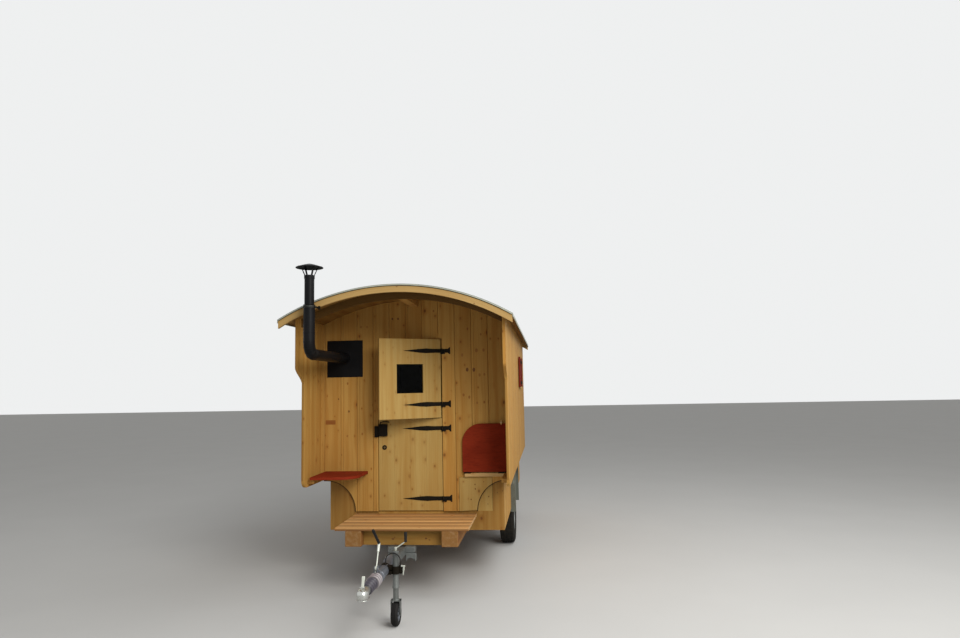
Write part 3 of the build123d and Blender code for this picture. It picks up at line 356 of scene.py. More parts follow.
red = red_stain("oxblood stain", (0.232, 0.026, 0.009), (0.190, 0.020, 0.007), (0.110, 0.011, 0.005))
shutter_red = red_stain("weathered red stain", (0.150, 0.017, 0.008), (0.118, 0.013, 0.007),
                        (0.070, 0.008, 0.005))

# %% Metals and rubber
soil, spangle_scale = (0.085, 0.062, 0.038), 90.0


def metal_finish(name, base, other, rough, metal, spangle=0.0, grain=60.0, depth=0.0002, dirt=0.25,
                 shine=0.5):
    """A metal or a paint with a cloudy tone, a fine grain, zinc spangle, patches of dirt, and painted shade
    with grime where the groove attribute darkens hollows.
    """
    f = Finish(name)
    where = f.point(*f.place())
    cloud = f.noise(where, 4.0, 4.0)
    fine = f.noise(where, grain)
    colour = f.mix(cloud.step(0.3, 0.7), base, other)
    rubbed = rough + cloud * 0.12 + fine * 0.06 - 0.06
    if spangle:
        inputs = {"Vector": where, "Scale": spangle_scale}
        flake = f.part(f.node("TexVoronoi", {"feature": "F1"}, inputs, out="Color"), "Red")
        colour = f.mix(flake * spangle, colour, scaled(base, 0.62))
        rubbed = rubbed + flake * 0.14 * spangle
    grime_and_painted_shade = f.noise(where, 9.0, 5.0, 0.7).step(0.52, 0.75)
    colour = f.mix(grime_and_painted_shade * dirt, colour, soil)
    # painted shade and grime: the groove attribute darkens the hollows of the collar and the folds of the
    # bellows
    colour = f.mix(f.attribute("groove") * 0.92, colour, scaled(base, 0.12))
    return f.finish(colour, rubbed, metal=metal, height=fine + grime_and_painted_shade * 0.5, depth=depth, shine=shine)


# %% Iron, enamel and zinc
black = metal_finish("black iron", (0.0075, 0.0060, 0.0042), (0.0125, 0.0100, 0.0070), 0.58, 0.0,
                     grain=180.0, depth=0.0003, dirt=0.04, shine=0.05)
flue_black = metal_finish("flue enamel", (0.0050, 0.0050, 0.0052), (0.0085, 0.0085, 0.0095), 0.38, 0.0,
                          grain=300.0, dirt=0.03, shine=0.09)
zinc = metal_finish("galvanised steel", (0.185, 0.195, 0.186), (0.135, 0.143, 0.137), 0.46, 0.60,
                    spangle=0.5, dirt=0.30)
casting = metal_finish("grey casting", (0.135, 0.146, 0.168), (0.088, 0.098, 0.116), 0.44, 0.35,
                       grain=140.0, depth=0.0006, dirt=0.35)
bright = metal_finish("bright zinc", (0.58, 0.59, 0.56), (0.42, 0.43, 0.40), 0.24, 0.85,
                      spangle=0.15, dirt=0.20)
pale_zinc = metal_finish("pale zinc handles", (0.60, 0.62, 0.55), (0.48, 0.50, 0.44), 0.38, 0.25, dirt=0.10)
worn_collar = metal_finish("worn grey collar", (0.400, 0.370, 0.385), (0.210, 0.165, 0.168), 0.46, 0.25,
                           grain=220.0, depth=0.0006, dirt=0.2)
brass = metal_finish("dull brass", (0.215, 0.140, 0.045), (0.120, 0.078, 0.026), 0.40, 0.60, dirt=0.35)
guard_paint = metal_finish("wheel housing sheet", (0.148, 0.158, 0.130), (0.113, 0.122, 0.097), 0.50, 0.30,
                           spangle=0.35, dirt=0.30)
roof_metal = metal_finish("roof sheet", (0.300, 0.320, 0.300), (0.245, 0.265, 0.245), 0.38, 0.65,
                          spangle=0.12, dirt=0.22)
trim_metal = metal_finish("roof trim", (0.420, 0.435, 0.360), (0.340, 0.350, 0.290), 0.42, 0.40,
                          spangle=0.10, dirt=0.15)

# %% Rubber, painted shadow and knots
rubber = metal_finish("black rubber", (0.013, 0.012, 0.012), (0.020, 0.019, 0.018), 0.60, 0.0,
                      grain=90.0, depth=0.0004, dirt=0.10, shine=0.09)
bellows_rubber = metal_finish("bellows rubber", (0.072, 0.063, 0.086), (0.100, 0.088, 0.116), 0.36, 0.0,
                              depth=0.0003, dirt=0.06, shine=0.45)
tyre_rubber = metal_finish("tyre rubber", (0.013, 0.012, 0.010), (0.021, 0.019, 0.015), 0.82, 0.0,
                           grain=120.0, depth=0.0005, dirt=0.30, shine=0.14)
# painted shadow: dark brown for the strips that stand in for the shadow under the cut board ends
painted_shadow_finish = metal_finish("dark seal", (0.040, 0.024, 0.011), (0.060, 0.037, 0.018), 0.80, 0.0,
                         grain=150.0, dirt=0.10, shine=0.08)
knot_wood = metal_finish("dead knots", (0.130, 0.052, 0.015), (0.180, 0.080, 0.024), 0.60, 0.0,
                         grain=500.0, depth=0.0004, dirt=0.20, shine=0.15)
live_knot_wood = metal_finish("live knots", (0.265, 0.108, 0.024), (0.350, 0.160, 0.038), 0.60, 0.0,
                              grain=400.0, depth=0.0004, dirt=0.30, shine=0.15)

# %% [markdown]
# The panes are thin and a little wavy. Through them one looks into a dark room, so their index of
# refraction is kept low: with that of real glass, the pale studio would cover the room.


# %% Glass
def pane_glass_painted_dark():
    """Window glass, tinted near black as painted shade of the dark room behind, slightly green, with faint
    unevenness.
    """
    f = Finish("window glass")
    wave = f.noise(f.point(*f.place()), 7.0, 1.0)
    extra = {"Transmission Weight": 1.0, "IOR": 1.13}
    # painted shade: the base colour tints all light through the pane near black
    return f.finish((0.07, 0.08, 0.07), 0.02 + wave * 0.03, height=wave, depth=0.0004, shine=0.3, **extra)


glass = pane_glass_painted_dark()

# %% [markdown]
# ## Tools for the pieces
# Blender can bevel, bend and lathe with modifiers, but most pieces here are known by their
# numbers, so short functions write the points and faces, and one function makes the object,
# gives it its finish and lets it ride on the body that carries it.

# %% Directions and places
RIGHT, INWARD, FORWARD, UP = (1, 0, 0), (0, 1, 0), (0, -1, 0), (0, 0, 1)


def lie(origin, x_axis, z_axis):
    """A matrix that puts a shape's own x and z along two directions, at a point."""
    z_dir = Vector(z_axis).normalized()
    x_dir = Vector(x_axis)
    x_dir = (x_dir - z_dir * x_dir.dot(z_dir)).normalized()
    turn = Matrix((x_dir, z_dir.cross(x_dir), z_dir)).transposed().to_4x4()
    return Matrix.Translation(origin) @ turn


def facing(x, y, z):
    """A place on the front, whose own z comes towards someone who faces the door."""
    return lie((x, y, z), RIGHT, FORWARD)


def standing(x, y):
    """A place whose own z is the hut's z."""
    return Matrix.Translation((x, y, 0))


def axes(x, y, z, origin):
    """A matrix from where a shape's own x, y and z go."""
    return Matrix([(*row, shift) for row, shift in zip(zip(x, y, z), origin)] + [(0, 0, 0, 1)])


def bow(middle_x, middle_y, wide, tall, turns):
    """Points on an arc of a circle or an ellipse, at turns in degrees."""
    turns = [radians(t) for t in turns]
    return [(middle_x + wide * cos(t), middle_y + tall * sin(t)) for t in turns]


# %% Making an object
def piece(name, points, faces, finish, body, slot, tones, dips, smooth=False, bevel=0.0, replaces=()):
    """Make one object with its finish, its body and the nodes it stands for."""
    mesh = bpy.data.meshes.new(name)
    mesh.from_pydata([tuple(p) for p in points], [], faces)
    mesh.attributes.new("board", "FLOAT", "FACE").data.foreach_set("value", tones)
    # the attribute groove carries painted shade and grime: how much each point is darkened
    mesh.attributes.new("groove", "FLOAT", "POINT").data.foreach_set("value", dips)
    made = bmesh.new()
    made.from_mesh(mesh)
    bmesh.ops.recalc_face_normals(made, faces=made.faces)
    made.to_mesh(mesh)
    made.free()
    mesh.materials.append(finish)
    mesh.shade_smooth() if smooth else mesh.shade_flat()
    thing = bpy.data.objects.new(name, mesh)
    bpy.context.collection.objects.link(thing)
    if smooth:
        sharp = thing.modifiers.new("sharp edges", "EDGE_SPLIT")
        sharp.split_angle = radians(38)
    if bevel:
        edge = thing.modifiers.new("worn edges", "BEVEL")
        edge.width, edge.segments, edge.limit_method, edge.angle_limit = bevel, 2, "ANGLE", radians(40)
    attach(thing, body)
    if replaces:
        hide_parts(*replaces)
    print("made", name, "with", len(faces), "faces")
    return thing


def thicken(thing, thickness, offset):
    """Give a skin its sheet's thickness."""
    thick = thing.modifiers.new("thickness", "SOLIDIFY")
    thick.thickness, thick.offset = thickness, offset


# %% Faces of boxes, bars and skins
BOX_FACES = [(0, 1, 3, 2), (4, 6, 7, 5), (0, 4, 5, 1), (2, 3, 7, 6), (0, 2, 6, 4), (1, 5, 7, 3)]


def bar_faces(sections):
    """The faces of a closed bar that has four points at each of its sections."""
    faces = [(0, 1, 3, 2), tuple(4 * (sections - 1) + i for i in (0, 2, 3, 1))]
    for a in range(0, 4 * (sections - 1), 4):
        b = a + 4
        faces += [(a, b, b + 1, a + 1), (a + 2, a + 3, b + 3, b + 2)]
        faces += [(a, a + 2, b + 2, b), (a + 1, b + 1, b + 3, a + 3)]
    return faces


def skin_faces(rows, steps, span=None):
    """The faces between rows of points that go round, with span of the steps filled."""
    faces = []
    for i in range(rows - 1):
        for k in range(steps if span is None else span):
            a, b = i * steps + k, i * steps + (k + 1) % steps
            faces.append((a, b, b + steps, a + steps))
    return faces


def lid_faces(rows, steps):
    """The two faces that close such a skin."""
    last = rows * steps
    return [tuple(range(steps)), tuple(range(last - 1, last - steps - 1, -1))]


# %% Solids that are added up
class Solid:
    """Points and faces that several small shapes are added to before they become one object."""

    def __init__(self):
        self.points, self.faces, self.tones, self.dips = [], [], [], []

    def add(self, points, faces, tone=0.0, at=None, dips=None):
        start = len(self.points)
        self.points += [at @ Vector(p) if at else Vector(p) for p in points]
        self.dips += dips if dips else [0.0] * len(points)
        self.faces += [tuple(start + i for i in face) for face in faces]
        self.tones += [tone] * len(faces)

    def box(self, x, y, z, tone=0.0, at=None):
        self.add([(a, b, c) for a in x for b in y for c in z], BOX_FACES, tone, at)

    def prism(self, outline, low, high, tone=0.0, at=None):
        """An outline in x and y, raised from low to high along z."""
        count = len(outline)
        points = [(x, y, low) for x, y in outline] + [(x, y, high) for x, y in outline]
        self.add(points, lid_faces(2, count) + skin_faces(2, count), tone, at)

    def turned(self, profile, at=None, steps=32, tone=0.0):
        """A profile of (radius, height) turned round z. A radius of 0 closes an end.
        A third number darkens it there: painted shade in hollows, with grime on the collar."""
        points, rings, dips = [], [], []
        turns = [2 * pi * i / steps for i in range(steps)]
        for radius, height, *painted_shade_grime_share in profile:
            if radius == 0:
                rings.append([len(points)] * steps)
                points.append((0, 0, height))
            else:
                rings.append(list(range(len(points), len(points) + steps)))
                points += [(radius * cos(t), radius * sin(t), height) for t in turns]
            dips += [painted_shade_grime_share[0] if painted_shade_grime_share else 0.0] * (len(points) - len(dips))
        faces = []
        for low, high in zip(rings, rings[1:]):
            for i in range(steps):
                j = (i + 1) % steps
                if low[0] == low[1]:
                    faces.append((low[0], high[j], high[i]))
                elif high[0] == high[1]:
                    faces.append((low[i], low[j], high[0]))
                else:
                    faces.append((low[i], low[j], high[j], high[i]))
        self.add(points, faces, tone, at, dips)

    def pin(self, radius, low, high, at=None, steps=20, tone=0.0):
        """A plain round bar along z."""
        self.turned([(0, low), (radius, low), (radius, high), (0, high)], at, steps, tone)

    def hoop(self, inner, outer, low, high, at=None, steps=40):
        """A ring or a short piece of pipe round z."""
        profile = [(inner, low), (outer, low), (outer, high), (inner, high), (inner, low)]
        self.turned(profile, at, steps)

    def rod(self, path, radius, steps=12):
        """A round bar along a path of points, closed at both ends."""
        path = [Vector(p) for p in path]
        radii = radius if isinstance(radius, list) else [radius] * len(path)
        points, side = [], Vector((0.31, 0.43, 0.85))
        for i, here in enumerate(path):
            before, after = path[max(i - 1, 0)], path[min(i + 1, len(path) - 1)]
            ahead = (after - before).normalized()
            side = side - ahead * ahead.dot(side)
            side.normalize()
            other = ahead.cross(side)
            for k in range(steps):
                t = 2 * pi * k / steps
                points.append(here + (side * cos(t) + other * sin(t)) * radii[i])
        self.add(points, lid_faces(len(path), steps) + skin_faces(len(path), steps))

    def make(self, name, finish, body, slot, **choices):
        return piece(name, self.points, self.faces, finish, body, slot, self.tones, self.dips, **choices)


# %% Bolts and lofted skins
def bolt(solid, place, outward, radius=0.008, height=0.005, steps=6):
    """A bolt head that stands out from a surface: six sides for a hexagon, more for a dome."""
    sideways = UP if abs(Vector(outward).normalized().z) < 0.9 else RIGHT
    shoulder, crown = (0.8, 0.86) if steps == 6 else (0.55, 0.78)
    head = [(0, -0.001), (radius, -0.001), (radius, height * shoulder), (radius * crown, height), (0, height)]
    solid.turned(head, lie(place, sideways, outward), steps)


def loft(solid, sections, steps=28, open_below=False):
    """A skin over upright sections: each is y, its middle z, half width, half height and squareness."""
    turns = [-pi / 2 + 2 * pi * k / steps for k in range(steps)]
    if open_below:
        turns = [radians(-50) + radians(280) * k / (steps - 1) for k in range(steps)]
    points = []
    for y, middle_z, wide, tall, square in sections:
        for t in turns:
            reach = (abs(cos(t)) ** square + abs(sin(t)) ** square) ** (-1 / square)
            points.append((wide * reach * cos(t), y, middle_z + tall * reach * sin(t)))
    span = steps - 1 if open_below else steps
    ends = lid_faces(len(sections), steps)[:1 if open_below else 2]
    solid.add(points, skin_faces(len(sections), steps, span) + ends)


# %% [markdown]
# ## Boards
# The cladding is tongue-and-groove board, 180 mm wide, with a small V at each joint and a
# second fine line beside it. A wall's outline is cut by the roof's arc, a quarter circle, a
# window or a wheel arch, so each board is built in narrow columns that end on those curves:
# real grooves in real boards, with no boolean to go wrong.

# %% Board maker
close, bead_half, bead_deep = 1e-6, 0.0028, 0.0024


def board_columns(left, right, joints, marks, groove, bead):
    """The columns of one board: where each stands along the wall and how deep its face is cut."""
    real_left, real_right = [any(abs(edge - j) < close for j in joints) for edge in (left, right)]
    columns = {left: groove if real_left else 0.0, right: groove if real_right else 0.0}
    if real_left and right - left > 2 * groove:
        columns[left + groove] = 0.0
    if real_right and right - left > 2 * groove:
        columns[right - groove] = 0.0
    if bead and real_left and right - left > bead + 0.01:
        columns[left + bead - bead_half] = 0.0
        columns[left + bead] = bead_deep
        columns[left + bead + bead_half] = 0.0
    cuts = sorted(columns.items())
    for mark in marks:
        if left + 0.001 < mark < right - 0.001 and mark not in columns:
            before = [cut for cut in cuts if cut[0] < mark][-1]
            after = [cut for cut in cuts if cut[0] > mark][0]
            share = (mark - before[0]) / (after[0] - before[0])
            columns[mark] = before[1] * (1 - share) + after[1] * share
    return sorted(columns.items())


def level(end):
    """The end of a board as a function of its place. A number is the same height everywhere."""
    return end if callable(end) else lambda u, d: end


def boards(solid, span, low, high, place, depth, joints=(), marks=(),
           groove=0.0050, bead=0.030, both=False, seed=1):
    """Add boards between two values of u. low and high are heights, or give them at (u, depth)."""
    face, back = depth
    inward = 1 if back > face else -1
    low, high = level(low), level(high)
    cuts = sorted({*span, *[j for j in joints if span[0] < j < span[1]]})
    for left, right in zip(cuts, cuts[1:]):
        index = sum(1 for j in joints if j <= left + close)
        tone = random.Random(seed * 977 + index * 31).random()
        columns = board_columns(left, right, joints, marks, groove, bead)
        points, dips = [], []
        for u, cut in columns:
            inside = min(max(u, left + 1e-5), right - 1e-5)
            for d in (face + inward * cut, back - inward * (cut if both else 0.0)):
                points += [place(u, d, end(inside, d)) for end in (low, high)]
            # painted shade: each point of a V is darkened by how deep the V is cut there
            dips += [min(cut / 0.003, 1.0)] * 4
        solid.add(points, bar_faces(len(columns)), tone, dips=dips)


# %% Where walls end and stand
def under_roof(u, d):
    """Underside of the roof boards over a point of the front or rear wall."""
    return roof_z + sqrt(soffit**2 - u**2) - 0.0005


def under_roof_side(u, d):
    """Underside of the roof boards over a side wall, whose depth is its x."""
    return under_roof(d, u)


def on_front(u, d, z):
    return (u, d, z)


def on_side(side):
    """Where a board of the right (1) or the left (-1) wall stands: u along the hut, d outwards."""
    return lambda u, d, z: (side * d, u, z)


front_joints = [first_joint + board_step * k for k in range(-6, 6)]
across_marks = [-1.02 + 0.02 * k for k in range(103)]
face_depth, core_depth = (front, front + skin), (front + skin + hair, front + wall_deep)
plain = dict(groove=0.0, bead=0.0, seed=4)

# %% [markdown]
# ### The front wall
# The front boards stop at a quarter circle on each side, so that the base panel behind them
# shows, a detail that lifts the hut's belly off the ground. The boards over the door run in line
# with the ones beside it. Behind the boards is the base panel, which also carries the hatch.

# %% Front wall boards
arc_marks = [arc_x - arc_r * sin(radians(4 * k)) for k in range(1, 23)] + [arc_x - arc_r + 0.0002]


def arc_low(u, d):
    """Lower end of a front board, on the floor line or on the quarter circle."""
    side = abs(u)
    if side > arc_x:
        return ledge_z
    if side > arc_x - arc_r:
        return floor_z + sqrt(max(arc_r**2 - (side - arc_x) ** 2, 0.0))
    return floor_z


def clad(solid, left, right, low, seed, marks=(), depth=face_depth):
    """The outer boards over one stretch of the front or the rear wall, up to the roof."""
    marks = [*marks, *across_marks]
    boards(solid, (left, right), low, under_roof, on_front, depth, front_joints, marks, seed=seed)


def back_up(solid, left, right, low, depth=core_depth):
    """The plain layer behind them."""
    boards(solid, (left, right), low, under_roof, on_front, depth, (), across_marks, **plain)


wall, base = Solid(), Solid()
sill_in, sill_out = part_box("sill_right")[0].x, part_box("sill_right")[1].x
clad(wall, -wing_in, -arc_x, ledge_z, 3)
clad(wall, -arc_x, door_left, arc_low, 3, [-m for m in arc_marks])
for left, right, low in ((-lower_out, -sill_out, skirt_z), (-sill_out, door_left, sill_top)):
    boards(base, (left, right), low, ledge_z, on_front, core_depth, **plain)
back_up(wall, -room_x, door_left, ledge_z)
wall.make("front_boards_left", spruce, "hut", "spruce", replaces=["front_wall_left"])
base.make("base_panel_left", base_wood_painted_shade, "hut", "spruce")

wall, base = Solid(), Solid()
hatch_low, hatch_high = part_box("hatch")
hole_left, hole_right, hole_top = hatch_low.x - 0.003, hatch_high.x + 0.003, hatch_high.z + 0.003
clad(wall, door_right, hole_left, floor_z, 5)
clad(wall, hole_left, hole_right, hole_top, 5)
clad(wall, hole_right, arc_x, arc_low, 5, arc_marks)
clad(wall, arc_x, wing_in, ledge_z, 5)
for left, right, low, high in (
        (door_right, sill_in, skirt_z, ledge_z), (sill_in, hole_left, sill_top, ledge_z),
        (hole_left, sill_out, sill_top, floor_z), (sill_out, hole_right, skirt_z, floor_z),
        (hole_left, hole_right, hole_top, ledge_z), (hole_right, lower_out, skirt_z, ledge_z)):
    boards(base, (left, right), low, high, on_front, core_depth, **plain)
back_up(wall, door_right, room_x, ledge_z)
wall.make("front_boards_right", spruce, "hut", "spruce", replaces=["front_wall_right"])
base.make("base_panel_right", base_wood_painted_shade, "hut", "spruce")

wall = Solid()
clad(wall, door_left, door_right, door_top, 3)
back_up(wall, door_left, door_right, door_top)
wall.make("front_boards_over_door", spruce, "hut", "spruce", replaces=["front_wall_over_door"])

# %% [markdown]
# The hatch in the base follows both layers: its front lies flush with the boards outside the
# quarter circle and with the base panel inside it, so the circle runs on across the hatch.

# %% Hatch
lid = Solid()
lid_x = (hatch_low.x, hatch_high.x)
boards(lid, lid_x, arc_low, hatch_high.z, on_front, face_depth, (), arc_marks, groove=0.0, bead=0.0, seed=8)
lid.box(lid_x, (core_depth[0], front + 0.038), (hatch_low.z, hatch_high.z), tone=0.31)
lid.make("hatch_boards", leaf_wood, "hut", "spruce", replaces=["hatch"])

# %% [markdown]
# A dark strip under the cut ends of the boards is painted shadow. It is the quarter circle again, a
# little thicker, with a straight piece out to the wing.

# %% Painted shadow strips
for side, name in ((-1, "left"), (1, "right")):
    shadow_strip = Solid()
    turns = range(90, 181, 5)
    outer, inner = [bow(arc_x, floor_z, r, r, turns) for r in (arc_r + 0.0004, arc_r - 0.008)]
    edge = [(side * x, z) for x, z in outer + inner[::-1]]
    shadow_strip.prism(edge, -skin, -0.0030, at=facing(0, front, 0))
    shadow_strip_z = (floor_z + arc_r - 0.008, floor_z + arc_r + 0.0004)
    shadow_strip.box(sorted((side * arc_x, side * (wing_in - 0.001))), (front + 0.003, front + skin), shadow_strip_z)
    shadow_strip.make("base_painted_shadow_" + name, painted_shadow_finish, "hut", "spruce")

# %% [markdown]
# Small knots come with the finish. The large ones of the front are what the eye finds first, so
# each of them is a flat lens in the place that the photograph gives: how far right of the middle
# and above the floor, in metres, and how large, in millimetres. Dead knots are dark and hard,
# live ones are red-brown and grown into the wood.

# %% Knots
dead_knots = [
    (0.578, 1.504, 20), (0.651, 1.502, 20), (-0.854, 1.210, 9), (-0.818, 0.603, 6), (-0.737, 1.074, 12),
    (-0.244, 2.081, 12), (-0.182, 2.081, 12), (0.641, 0.279, 8), (0.643, 0.232, 8), (0.735, 0.306, 6),
    (0.597, 0.122, 8), (0.785, 0.148, 7), (0.774, 0.070, 5), (0.877, 0.190, 6), (0.931, 0.208, 7)]
live_knots = [
    (0.683, 1.712, 20), (0.761, 1.714, 17), (0.588, 1.949, 14), (0.712, 1.444, 16), (0.764, 1.450, 15),
    (0.534, 1.231, 15), (0.596, 1.207, 16), (0.758, 1.151, 15), (0.680, 1.144, 14), (0.744, 2.058, 15),
    (0.525, 1.665, 18), (0.733, 1.886, 13), (-0.587, 0.827, 14), (-0.755, 0.807, 13), (-0.752, 1.379, 13),
    (-0.600, 2.001, 14), (-0.532, 2.000, 13), (0.216, 2.156, 13)]


def knot(solid, spot, r, wide, tall):
    """A flat lens on a board that faces forward."""
    lens = axes((wide, 0, 0), (0, 0, tall), FORWARD, spot)
    solid.turned([(0, 0.0007), (r * 0.55, 0.0006), (r, -0.0002)], lens, 20)


for name, finish, places in (("dead_knots", knot_wood, dead_knots),
                             ("live_knots", live_knot_wood, live_knots)):
    knots = Solid()
    for x, rise, size in places:
        beside = abs(x) > arc_x
        on_base = rise < arc_r if beside else (abs(x) - arc_x) ** 2 + rise**2 < arc_r**2
        y = front + (skin if on_base else 0.0) - hair
        knot(knots, (x, y, floor_z + rise), size / 1000, 0.8, 1.15)
    knots.make(name, finish, "hut", "spruce", smooth=True)

# %% [markdown]
# ### The side walls and their wings
# Each side wall is one layer of boards that runs on in front of the door as a wing. The wing's
# front edge is cut in an ogee high up and in a small quarter round at the bottom. Behind the
# front wall a lining is added on the inside, which leaves the window open.

# %% Side wall boards
wing_top, wing_mid, wing_round = front - 0.815, front - 0.625, 0.095
ease = [(k / 16, (k / 16) ** 2 * (3 - k / 8)) for k in range(17)]
ogee = [(wing_top + (wing_mid - wing_top) * s, floor_z + 1.540 - 0.160 * t) for t, s in ease]
corner_marks = [wing_mid + wing_round * (1 - cos(radians(10 * k))) for k in range(1, 10)]


def wing_low(u, d):
    """Lower end of a side board: on the ogee, on the rounded corner, or on the ledge line."""
    if u < wing_mid:
        for (y0, z0), (y1, z1) in zip(ogee, ogee[1:]):
            if y0 <= u <= y1:
                return z0 + (z1 - z0) * (u - y0) / max(y1 - y0, 1e-9)
        return ogee[0][1]
    if u < wing_mid + wing_round:
        reach = wing_round - (u - wing_mid)
        return ledge_z + wing_round - sqrt(max(wing_round**2 - reach**2, 0.0))
    return ledge_z


def surround(solid, x, hole_y, hole_z, outer_y, outer_z, tones):
    """Four bars round a hole in a side wall: in front, behind, below and above."""
    solid.box(x, (outer_y[0], hole_y[0]), outer_z, tones[0])
    solid.box(x, (hole_y[1], outer_y[1]), outer_z, tones[1])
    solid.box(x, hole_y, (outer_z[0], hole_z[0]), tones[2])
    solid.box(x, hole_y, (hole_z[1], outer_z[1]), tones[3])


window_low, window_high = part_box("window_pane_right")
trim_wide = 0.045
glass_y, glass_z = (window_low.y, window_high.y), (window_low.z, window_high.z)
frame_y, frame_z = [(span[0] - trim_wide, span[1] + trim_wide) for span in (glass_y, glass_z)]
# wing_mid stands twice in the joints: their count picks the tone of each board
side_joints = [wing_mid] + [wing_mid + board_step * k for k in range(27)]
lining_y, lining_z = (front + wall_deep + hair, rear - wall_deep - hair), (ledge_z, floor_z + 1.995)
for side, name, seed in ((1, "right", 11), (-1, "left", 17)):
    wall = Solid()
    shape = dict(place=on_side(side), depth=(wing_out, wing_in), joints=side_joints, both=True, seed=seed)
    boards(wall, (wing_top, wing_mid), wing_low, under_roof_side, marks=[y for y, z in ogee], **shape)
    boards(wall, (wing_mid, frame_y[0]), wing_low, under_roof_side, marks=corner_marks, **shape)
    boards(wall, frame_y, ledge_z, frame_z[0], **shape)
    boards(wall, frame_y, frame_z[1], under_roof_side, **shape)
    boards(wall, (frame_y[1], rear), ledge_z, under_roof_side, **shape)
    lining_x = [side * v for v in (room_x - hair, wing_in - hair)]
    surround(wall, lining_x, frame_y, frame_z, lining_y, lining_z, (0.4, 0.6, 0.2, 0.8))
    foot_x = [side * v for v in (lower_out - 0.040, wing_in)]
    wall.box(foot_x, lining_y, (ledge_z, ledge_z + 0.025), 0.5)
    wall.make("side_boards_" + name, spruce, "hut", "spruce", replaces=["side_wall_" + name])

# %% [markdown]
# ### Window frames and shutters
# The side windows are set in a frame with one cross bar and a drip board below. Their shutters
# are two red boards on two straps, hooked open flat against the wall. A knuckle and a stub carry
# each strap, so that the shutter doesn't hang in the air.

# %% Window frames
for side, name in ((1, "right"), (-1, "left")):
    trim = Solid()
    trim_x, bar_x, drip_x = [[side * v for v in span] for span in (
        (room_x - 0.002, wing_out + 0.004), (1.012, 1.026), (wing_out + 0.003, wing_out + 0.022))]
    surround(trim, trim_x, glass_y, glass_z, frame_y, frame_z, (0.1, 0.7, 0.4, 0.9))
    middle = sum(glass_z) / 2
    trim.box(bar_x, glass_y, (middle - 0.011, middle + 0.011), 0.3)
    drip_y = (frame_y[0] - 0.004, frame_y[1] + 0.004)
    trim.box(drip_x, drip_y, (frame_z[0] - 0.018, frame_z[0] + 0.004), 0.6)
    trim.make("window_frame_" + name, leaf_wood, "hut", "spruce", bevel=0.0015)

# %% Shutters
strap_long, strap_half, knuckle_half = 0.150, 0.012, 0.022
for node in ("shutter_right_front", "shutter_right_rear", "shutter_left_front", "shutter_left_rear"):
    low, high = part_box(node)
    side = 1 if low.x > 0 else -1
    outer = max(abs(low.x), abs(high.x))
    leaf = Solid()
    boards(leaf, (low.y, high.y), low.z, high.z, on_side(side), (outer, outer - skin),
           [(low.y + high.y) / 2], groove=0.0025, bead=0.0, both=True, seed=23)
    leaf.make(node + "_boards", shutter_red, "hut", "red_wood", bevel=0.0012, replaces=[node])
    near, toward = (low.y, 1) if node.endswith("rear") else (high.y, -1)
    strap_x, stub_x = [[side * v for v in span] for span in (
        (outer - 0.0005, outer + 0.0035), (wing_out - 0.001, outer - 0.010))]
    iron = Solid()
    for height in (low.z + 0.060, high.z - 0.060):
        strap_y = sorted((near, near + toward * strap_long))
        iron.box(strap_x, strap_y, (height - strap_half, height + strap_half))
        knuckle = Matrix.Translation((side * (outer - 0.008), near - toward * 0.004, height))
        iron.pin(0.009, -knuckle_half, knuckle_half, knuckle, 16)
        iron.box(stub_x, (near - 0.012, near + 0.012), (height - 0.014, height + 0.014))
    iron.make(node + "_hinges", black, "hut", "black_iron", bevel=0.0008)

# %% [markdown]
# ### The lower walls and the rear wall
# Below the ledge the body is narrower, and its boards go over the wheel housings in an arch with
# rounded corners. The rear wall is closed, of the same boards as the front.

# %% Lower walls
guard_low, guard_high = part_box("wheel_housing_right")
guard_y = (guard_low.y, guard_high.y)
guard_round, lower_thick = 0.190, 0.040
guard_marks = [guard_y[0] + guard_round * (1 - cos(radians(9 * k))) for k in range(1, 10)]
guard_marks += [guard_y[0] + guard_round]
guard_marks += [guard_y[0] + guard_y[1] - m for m in guard_marks]


def arch_low(u, d):
    """Lower end of a board over the wheel housing, with its rounded corners."""
    reach = guard_round - min(u - guard_y[0], guard_y[1] - u, guard_round)
    return guard_high.z - guard_round + sqrt(max(guard_round**2 - reach**2, 0.0)) + 0.0005


for side, name, seed in ((1, "right", 31), (-1, "left", 37)):
    wall = Solid()
    shape = dict(high=ledge_z - 0.0002, place=on_side(side), depth=(lower_out, lower_out - lower_thick),
                 joints=side_joints, seed=seed)
    boards(wall, (lining_y[0], guard_y[0]), skirt_z, **shape)
    boards(wall, guard_y, arch_low, marks=guard_marks, **shape)
    boards(wall, (guard_y[1], lining_y[1]), skirt_z, **shape)
    wall.make("lower_boards_" + name, spruce, "hut", "spruce", replaces=["lower_wall_" + name])

# %% Rear wall
wall = Solid()
rear_face, rear_core = (rear, rear - skin), (rear - skin - hair, rear - wall_deep)
for left, right, low in ((-wing_in, -lower_out, ledge_z), (-lower_out, lower_out, skirt_z),
                         (lower_out, wing_in, ledge_z)):
    clad(wall, left, right, low, 41, depth=rear_face)
back_up(wall, -room_x, room_x, ledge_z, rear_core)
boards(wall, (-lower_out, lower_out), skirt_z, ledge_z, on_front, rear_core, **plain)
wall.make("rear_boards", spruce, "hut", "spruce", replaces=["rear_wall"])

# %% [markdown]
# ### The roof's underside
# From the ground one looks up at the roof boards under the front overhang. They run along the
# hut, each a flat strip of the arc, so they are made as segments of the arc with a V between.

# %% Roof boards
roof = Solid()
board_low, board_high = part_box("roof_boards")
sheet_in = roof_radius - 0.003
half_turn = asin(board_high.x / roof_radius)
roof_count, arc_steps = 16, 64


def on_arc(u, d, y):
    return (d * sin(u), y, roof_z + d * cos(u))


def across_roof(half, parts):
    """Angles from one eave to the other."""
    return [half * (2 * k / parts - 1) for k in range(parts + 1)]


